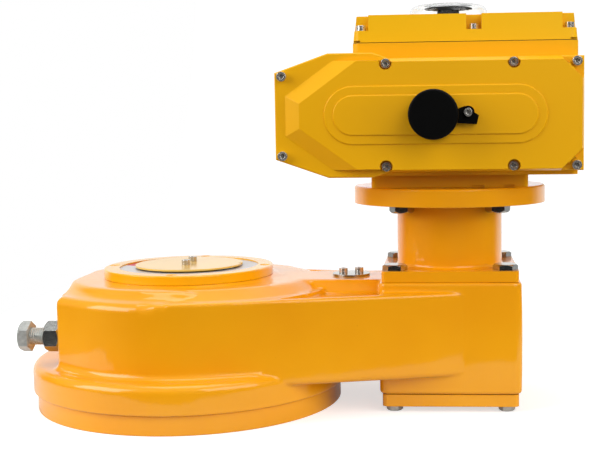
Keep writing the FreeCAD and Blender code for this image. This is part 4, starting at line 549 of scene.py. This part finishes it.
# %% [markdown]
# Now the skin grows. Slow waves of a quarter of a millimetre make the reflections swim as on real
# castings. Last, the net is thinned, as flat stretches need few points, and the shading follows the
# large faces, so that they look flat.

# %% Grow the skin

def even_net(grown):
    """Mesh of the piece as one even net with small round corners."""
    net = grown.modifiers.new("even net", "REMESH")
    net.mode = "VOXEL"
    net.voxel_size = SKIN_VOXEL
    grown.modifiers.new("soft corners", "SMOOTH").iterations = SKIN_ROUNDS
    view = bpy.context.evaluated_depsgraph_get()
    data = bpy.data.meshes.new_from_object(grown.evaluated_get(view))
    grown.modifiers.clear()
    return data


def soften_and_wave(data):
    """Flow where the form changes, and slow waves everywhere."""
    mesh = bmesh.new()
    mesh.from_mesh(data)
    soft = [point for point in mesh.verts if is_soft(point.co)]
    for _ in range(SOFT_ROUNDS):
        bmesh.ops.smooth_vert(
            mesh, verts=soft, factor=0.5, use_axis_x=True, use_axis_y=True, use_axis_z=True)
    mesh.normal_update()
    for point in mesh.verts:
        wave = noise.noise(point.co / SKIN_WAVE_WIDTH)
        point.co += point.normal * (SKIN_WAVE * (wave - 0.5))
    mesh.to_mesh(data)
    mesh.free()
    for face in data.polygons:
        face.use_smooth = True


def casting_skin(node):
    whole = bmesh.new()
    whole.from_mesh(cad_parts[node].data)
    add_table_edge(whole)
    start = bpy.data.meshes.new("gearbox_casting")
    whole.to_mesh(start)
    whole.free()
    grown = bpy.data.objects.new("gearbox_casting", start)
    bpy.context.scene.collection.objects.link(grown)
    data = even_net(grown)
    soften_and_wave(data)
    grown.data = data
    data.materials.clear()
    data.materials.append(FINISH["gearbox_enamel"])
    grown.modifiers.new("fewer faces", "DECIMATE").ratio = SKIN_KEEP
    grown.modifiers.new("even shading", "WEIGHTED_NORMAL").weight = EVEN_SHADING
    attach(grown, "root")
    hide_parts(node)
    return grown


casting = casting_skin("gear_housing")
print("casting net:", len(casting.data.polygons), "faces before thinning")

# %% [markdown]
# The gear cover is die cast with generous draft: its raised face is a few millimetres smaller all
# round than the rim that it rises from, so a bright sloped border runs along the top, the right
# side and the cut corners. The CAD solid has the same face with a steeper border. A copy of its
# mesh gets the slope by pulling the outline of the front face inwards against five lines, one for
# each border.

# %% Sloped border of the gear cover
COVER_MIDDLE_Z = 326.0
COVER_FRONT_Y = -119.0
COVER_FOOT_Y = -111.5
COVER_SLOPE_FROM_X = 242.0
COVER_HALF = {1.0: 54.8, -1.0: 56.6}
COVER_RIGHT_X = 439.4
CORNER_CAD = 482.0
CORNER_FOOT = 477.3
CORNER_FACE = 475.4
CORNER_CATCH = 0.2
TOP_LINE = 57.5
SIDE_LINE = 441.0
WELD = 0.005 * MM
CREASE_DEG = 28.0
COVER_CREASE_DEG = 14.0
MOVED = 0.01 * MM


def cut_corner(x, half, limit, on_top, on_side):
    """Point held behind the corner's slant, x + half = limit; line ends slide along their line."""
    over = max(0.0, x + half - limit)
    if on_top:
        return x - over, half
    if on_side:
        return x, half - over
    return x - over / 2, half - over / 2


def drafted(point):
    """Point of the cover held inside the sloped border or on a cut corner's foot; others stay."""
    x, y, z = (c / MM for c in point)
    up = z - COVER_MIDDLE_Z
    side = 1.0 if up > 0 else -1.0
    half = abs(up)
    ends = (half > TOP_LINE, x > SIDE_LINE)
    if y < COVER_FRONT_Y and x > COVER_SLOPE_FROM_X:
        x, half = min(x, COVER_RIGHT_X), min(half, COVER_HALF[side])
        x, half = cut_corner(x, half, CORNER_FACE, *ends)
    elif COVER_FRONT_Y < y < COVER_FOOT_Y and abs(x + half - CORNER_CAD) < CORNER_CATCH:
        x, half = cut_corner(x, half, CORNER_FOOT, *ends)
    else:
        return point
    return Vector((x, y, COVER_MIDDLE_Z + side * half)) * MM


def plain_copy(node, name):
    """The node's mesh as one closed net with creases at sharp edges, ready to be reshaped."""
    mesh = bmesh.new()
    mesh.from_mesh(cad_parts[node].data)
    bmesh.ops.remove_doubles(mesh, verts=mesh.verts, dist=WELD)
    data = bpy.data.meshes.new(name)
    mesh.to_mesh(data)
    mesh.free()
    if "custom_normal" in data.attributes:
        data.attributes.remove(data.attributes["custom_normal"])
    for face in data.polygons:
        face.use_smooth = True
    data.set_sharp_from_angle(angle=math.radians(CREASE_DEG))
    return data


def stand_in(data, node, finish):
    """Piece of the still body that takes a CAD node's place, named as its mesh."""
    piece = bpy.data.objects.new(data.name, data)
    bpy.context.scene.collection.objects.link(piece)
    data.materials.clear()
    data.materials.append(finish)
    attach(piece, "root")
    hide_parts(node)
    return piece


def drafted_cover():
    data = plain_copy("gear_cover", "drafted_cover")
    moved = 0
    for point in data.vertices:
        held = drafted(point.co)
        moved += (held - point.co).length > MOVED
        point.co = held
    data.set_sharp_from_angle(angle=math.radians(COVER_CREASE_DEG))
    print("cover points drawn in:", moved)
    finish = powder_coat("satin_powder_coat_on_cover", "EDAC00", "F1B103")
    return stand_in(data, "gear_cover", finish)


drafted_cover()

# %% [markdown]
# The hexagon heads that hang under the adapter's round flange have nearly their full height, and
# that dark row under the yellow flange is easy to see. The CAD has them lower, as the heads on
# the square foot are, so a copy of the bolts is stretched below the face that the heads bear on.

# %% Full heads of the flange bolts
CAD_HEAD = 6.5 * MM
FULL_HEAD = 9.2 * MM


def full_head_bolts():
    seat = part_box("head_bolts")[0].z + CAD_HEAD
    data = plain_copy("head_bolts", "full_head_bolts")
    for point in data.vertices:
        if point.co.z < seat:
            point.co.z = seat - (seat - point.co.z) * FULL_HEAD / CAD_HEAD
    print("flange bolts bear at", round(seat / MM, 1), "mm")
    return stand_in(data, "head_bolts", FINISH["zinc_steel"])


full_head_bolts()

# %% [markdown]
# The stop screws stand in the open, and their threads catch the light, so each gets a real one. A
# thread is a tube whose radius rises and falls once per pitch while it turns once, so a grid over
# angle and length with that radius is enough: no sweep, no boolean, one clean skin. Its crests
# are a hair under the nominal size, as on every bought screw, so that it runs free in the tapped
# hole. The head stands with one flat towards the viewer, and its end is turned round.

# %% Threaded stop screws
M20_PITCH = 2.5 * MM
M20_RADIUS = 9.85 * MM
THREAD_DEPTH = 1.25 * MM
THREAD_SHAPE = 0.8
TIP_CHAMFER = 2.0 * MM
HEAD_FLATS = 30.0 * MM
HEAD_HEIGHT = 12.5 * MM
WASHER_HEIGHT = 0.6 * MM
WASHER_SHARE = 0.47
HEAD_END = ((3.0 * MM, None), (1.8 * MM, 0.54), (0.7 * MM, 0.5), (0.0, 0.455))
ROUND_STEPS = 48
ROWS_PER_PITCH = 8


def thread_radius(turn, along):
    """Radius of the thread at a share of a turn and a length from the tip."""
    phase = (along / M20_PITCH - turn) % 1.0
    return M20_RADIUS - THREAD_DEPTH * (1.0 - abs(2.0 * phase - 1.0)) ** THREAD_SHAPE


def around(angle, radius, height):
    """Point at an angle and a radius round the screw's axis."""
    return radius * math.cos(angle), radius * math.sin(angle), height


def thread_rings(mesh, length):
    """Rings of vertices from the tip to the head, the tip chamfered."""
    rings = []
    rows = int(length / M20_PITCH * ROWS_PER_PITCH)
    for row in range(rows + 1):
        along = length * row / rows
        limit = M20_RADIUS - max(0.0, TIP_CHAMFER - along)
        ring = []
        for step in range(ROUND_STEPS):
            turn = step / ROUND_STEPS
            radius = min(thread_radius(turn, along), limit)
            ring.append(mesh.verts.new(around(2.0 * math.pi * turn, radius, along)))
        rings.append(ring)
    return rings


def hex_ring(mesh, flats, height, corner_radius=None):
    """Ring of a hexagon's outline, its corners held inside a circle if one is given."""
    ring = []
    for step in range(ROUND_STEPS):
        angle = 2.0 * math.pi * step / ROUND_STEPS
        slant = angle % (math.pi / 3) - math.pi / 6
        radius = flats / 2 / math.cos(slant)
        if corner_radius is not None:
            radius = min(radius, corner_radius)
        ring.append(mesh.verts.new(around(angle, radius, height)))
    return ring


def bridge(mesh, lower, upper):
    """Wall of quads between two rings."""
    count = len(lower)
    for k in range(count):
        mesh.faces.new((lower[k], lower[(k + 1) % count], upper[(k + 1) % count], upper[k]))


def stop_screw(name, node, body):
    """Hexagon screw along -X with a cut thread, standing for the plain one of the CAD."""
    low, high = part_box(node)
    length = high.x - low.x - HEAD_HEIGHT
    mesh = bmesh.new()
    rings = thread_rings(mesh, length)
    washer = WASHER_SHARE * HEAD_FLATS
    rings.append([mesh.verts.new(around(2 * math.pi * k / ROUND_STEPS, washer, length))
                  for k in range(ROUND_STEPS)])
    rings.append(hex_ring(mesh, HEAD_FLATS, length + WASHER_HEIGHT))
    for below, share in HEAD_END:
        round_limit = None if share is None else share * HEAD_FLATS
        rings.append(hex_ring(mesh, HEAD_FLATS, length + HEAD_HEIGHT - below, round_limit))
    for lower, upper in zip(rings, rings[1:]):
        bridge(mesh, lower, upper)
    mesh.faces.new(list(reversed(rings[0])))
    mesh.faces.new(rings[-1])
    data = bpy.data.meshes.new(name)
    mesh.to_mesh(data)
    mesh.free()
    piece = bpy.data.objects.new(name, data)
    bpy.context.scene.collection.objects.link(piece)
    middle = (low + high) / 2
    piece.matrix_world = (Matrix.Translation((high.x, middle.y, middle.z))
                          @ Matrix.Rotation(math.radians(-90), 4, "Y"))
    data.materials.append(FINISH["dull_zinc"])
    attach(piece, body)
    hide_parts(node)
    return piece


for side in ("front", "rear"):
    made = stop_screw("threaded_stop_" + side, "stop_screw_" + side, "stop_" + side)
    print(made.name, len(made.data.polygons), "faces")

# %% [markdown]
# The studio is a white table that runs up into a white wall. The room behind the camera is dark,
# and that matters as much as the lamps: whatever faces the viewer mirrors the dark room, so enamel
# keeps its full colour and steel goes nearly black, while tops and flanks mirror white paper. The
# room is a world whose brightness depends on the direction in the room and never on the camera, so
# it stays where it is when another side is looked at. The white of the background is made for rays
# from the camera or through the clear dome, so the object isn't overlit to get it, and the table
# keeps the shadow under the flange.

# %% Table, wall and room
TABLE_LEFT = -0.46
TABLE_RIGHT = 0.85
TABLE_FRONT = -0.32
PAPER_DIM_Y = (0.0, 0.5)
WALL_AT = 2.2
WALL_TOP = 3.2
SWEEP_RADIUS = 0.9
SWEEP_STEPS = 16
PAPER_GLOW = 0.62
PAPER_MIRRORED = 0.25
ROOM_DARK = 0.02
CEILING = 0.4
CEILING_Z = (0.3, 0.75)
BEHIND_Y = (0.38, 0.72)
ROOM_FILL = 0.5


def white_ray(tree, path):
    """1 for rays that come from the camera or through a clear piece."""
    seen = add(tree, "ShaderNodeMath", {"operation": "MAXIMUM"}, {
        0: path.outputs["Is Camera Ray"], 1: path.outputs["Is Transmission Ray"]})
    return seen.outputs[0]


def table_white():
    """Paper that is mirrored full white behind the object and dimmer where it nears the viewer."""
    material, tree, shader = new_finish(
        "matt_white_paper", Base_Color=linear("D2D2D1"), Roughness=0.9,
        Emission_Color=linear("FFFFFF"))
    path = add(tree, "ShaderNodeLightPath")
    place = add(tree, "ShaderNodeTexCoord").outputs["Object"]
    split = add(tree, "ShaderNodeSeparateXYZ", {}, {"Vector": place})
    far = add(tree, "ShaderNodeMapRange", {"interpolation_type": "SMOOTHSTEP"}, {
        "Value": split.outputs["Y"], "From Min": PAPER_DIM_Y[0], "From Max": PAPER_DIM_Y[1],
        "To Min": PAPER_MIRRORED})
    mirrored = add(tree, "ShaderNodeMath", {"operation": "MULTIPLY"}, {
        0: path.outputs["Is Glossy Ray"], 1: far.outputs["Result"]})
    white = add(tree, "ShaderNodeMath", {"operation": "MAXIMUM"}, {
        0: white_ray(tree, path), 1: mirrored.outputs[0]})
    lit = add(tree, "ShaderNodeMath", {"operation": "MULTIPLY"}, {
        0: white.outputs[0], 1: PAPER_GLOW})
    tree.links.new(lit.outputs[0], shader.inputs["Emission Strength"])
    return material


def make_table():
    """One sheet: a level table, a round sweep and an upright wall."""
    mesh = bmesh.new()
    profile = [(TABLE_FRONT, 0.0)]
    for k in range(SWEEP_STEPS + 1):
        angle = math.pi / 2 * k / SWEEP_STEPS
        profile.append((WALL_AT - SWEEP_RADIUS + SWEEP_RADIUS * math.sin(angle),
                        SWEEP_RADIUS - SWEEP_RADIUS * math.cos(angle)))
    profile.append((WALL_AT, WALL_TOP))
    rows = [[mesh.verts.new((x, y, z)) for x in (TABLE_LEFT, TABLE_RIGHT)] for y, z in profile]
    for near, far in zip(rows, rows[1:]):
        face = mesh.faces.new((near[0], near[1], far[1], far[0]))
        face.smooth = True
    data = bpy.data.meshes.new("table")
    mesh.to_mesh(data)
    mesh.free()
    table = bpy.data.objects.new("table", data)
    bpy.context.scene.collection.objects.link(table)
    data.materials.append(table_white())
    table.location.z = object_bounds()[0].z
    return table


def room():
    """World that is grey-white above, white behind the table and dark where the viewer is."""
    world = bpy.data.worlds.new("studio_room")
    world.use_nodes = True
    tree = world.node_tree
    background = tree.nodes["Background"]
    background.inputs["Color"].default_value = linear("FFFFFF")
    direction = add(tree, "ShaderNodeTexCoord").outputs["Generated"]
    split = add(tree, "ShaderNodeSeparateXYZ", {}, {"Vector": direction})
    above = add(tree, "ShaderNodeMapRange", {"interpolation_type": "SMOOTHSTEP"}, {
        "Value": split.outputs["Z"], "From Min": CEILING_Z[0], "From Max": CEILING_Z[1]})
    behind = add(tree, "ShaderNodeMapRange", {"interpolation_type": "SMOOTHSTEP"}, {
        "Value": split.outputs["Y"], "From Min": BEHIND_Y[0], "From Max": BEHIND_Y[1]})
    ceiling = add(tree, "ShaderNodeMath", {"operation": "MULTIPLY"}, {
        0: above.outputs["Result"], 1: CEILING})
    white = add(tree, "ShaderNodeMath", {"operation": "MAXIMUM"}, {
        0: ceiling.outputs[0], 1: behind.outputs["Result"]})
    path = add(tree, "ShaderNodeLightPath")
    full = add(tree, "ShaderNodeMapRange", {}, {
        "Value": path.outputs["Is Glossy Ray"], "To Min": ROOM_FILL, "To Max": 1.0})
    level = add(tree, "ShaderNodeMapRange", {}, {
        "Value": white.outputs[0], "To Min": ROOM_DARK, "To Max": full.outputs["Result"]})
    strength = add(tree, "ShaderNodeMapRange", {}, {
        "Value": white_ray(tree, path), "To Min": level.outputs["Result"], "To Max": 1.0})
    tree.links.new(strength.outputs["Result"], background.inputs["Strength"])
    bpy.context.scene.world = world


# %% [markdown]
# Six flat lamps are aimed at the middle of the object. Three large soft boxes, above and at both
# sides, light it and are mirrored in the enamel. Three low ones fill the shade under the head, and
# are hidden from mirror rays, so they leave no image in the enamel. The light is plain in strength,
# so each colour comes out about as it is written.

# %% Lamps
OBJECT_MIDDLE = (0.14, 0.0, 0.2)
LAMPS = (("box_above", (0.1, 0.1, 1.9), (1.4, 1.2), 14.0, True),
         ("box_left", (-1.8, -1.1, 1.3), (1.7, 1.5), 39.0, True),
         ("box_right", (1.5, -1.7, 1.5), (1.7, 1.5), 25.0, True),
         ("fill_front", (0.35, -2.3, 0.55), (2.0, 0.9), 5.5, False),
         ("fill_left", (-2.1, -0.4, 0.55), (1.4, 0.9), 14.0, False),
         ("fill_right", (2.2, -0.6, 0.55), (1.4, 0.9), 18.0, False))


def soft_box(name, place, size, watts, mirrored):
    """Flat lamp aimed at the object; the enamel mirrors it only if it may."""
    lamp = bpy.data.lights.new(name, "AREA")
    lamp.shape = "RECTANGLE"
    lamp.size, lamp.size_y = size
    lamp.energy = watts
    light = bpy.data.objects.new(name, lamp)
    bpy.context.scene.collection.objects.link(light)
    light.location = place
    aim = Vector(OBJECT_MIDDLE) - Vector(place)
    light.rotation_euler = aim.to_track_quat("-Z", "Y").to_euler()
    light.visible_glossy = mirrored
    return light


make_table()
room()
for lamp_row in LAMPS:
    soft_box(*lamp_row)
bpy.context.scene.view_settings.view_transform = "Standard"
print("lamps:", len(LAMPS), "with", sum(row[3] for row in LAMPS), "W in all")
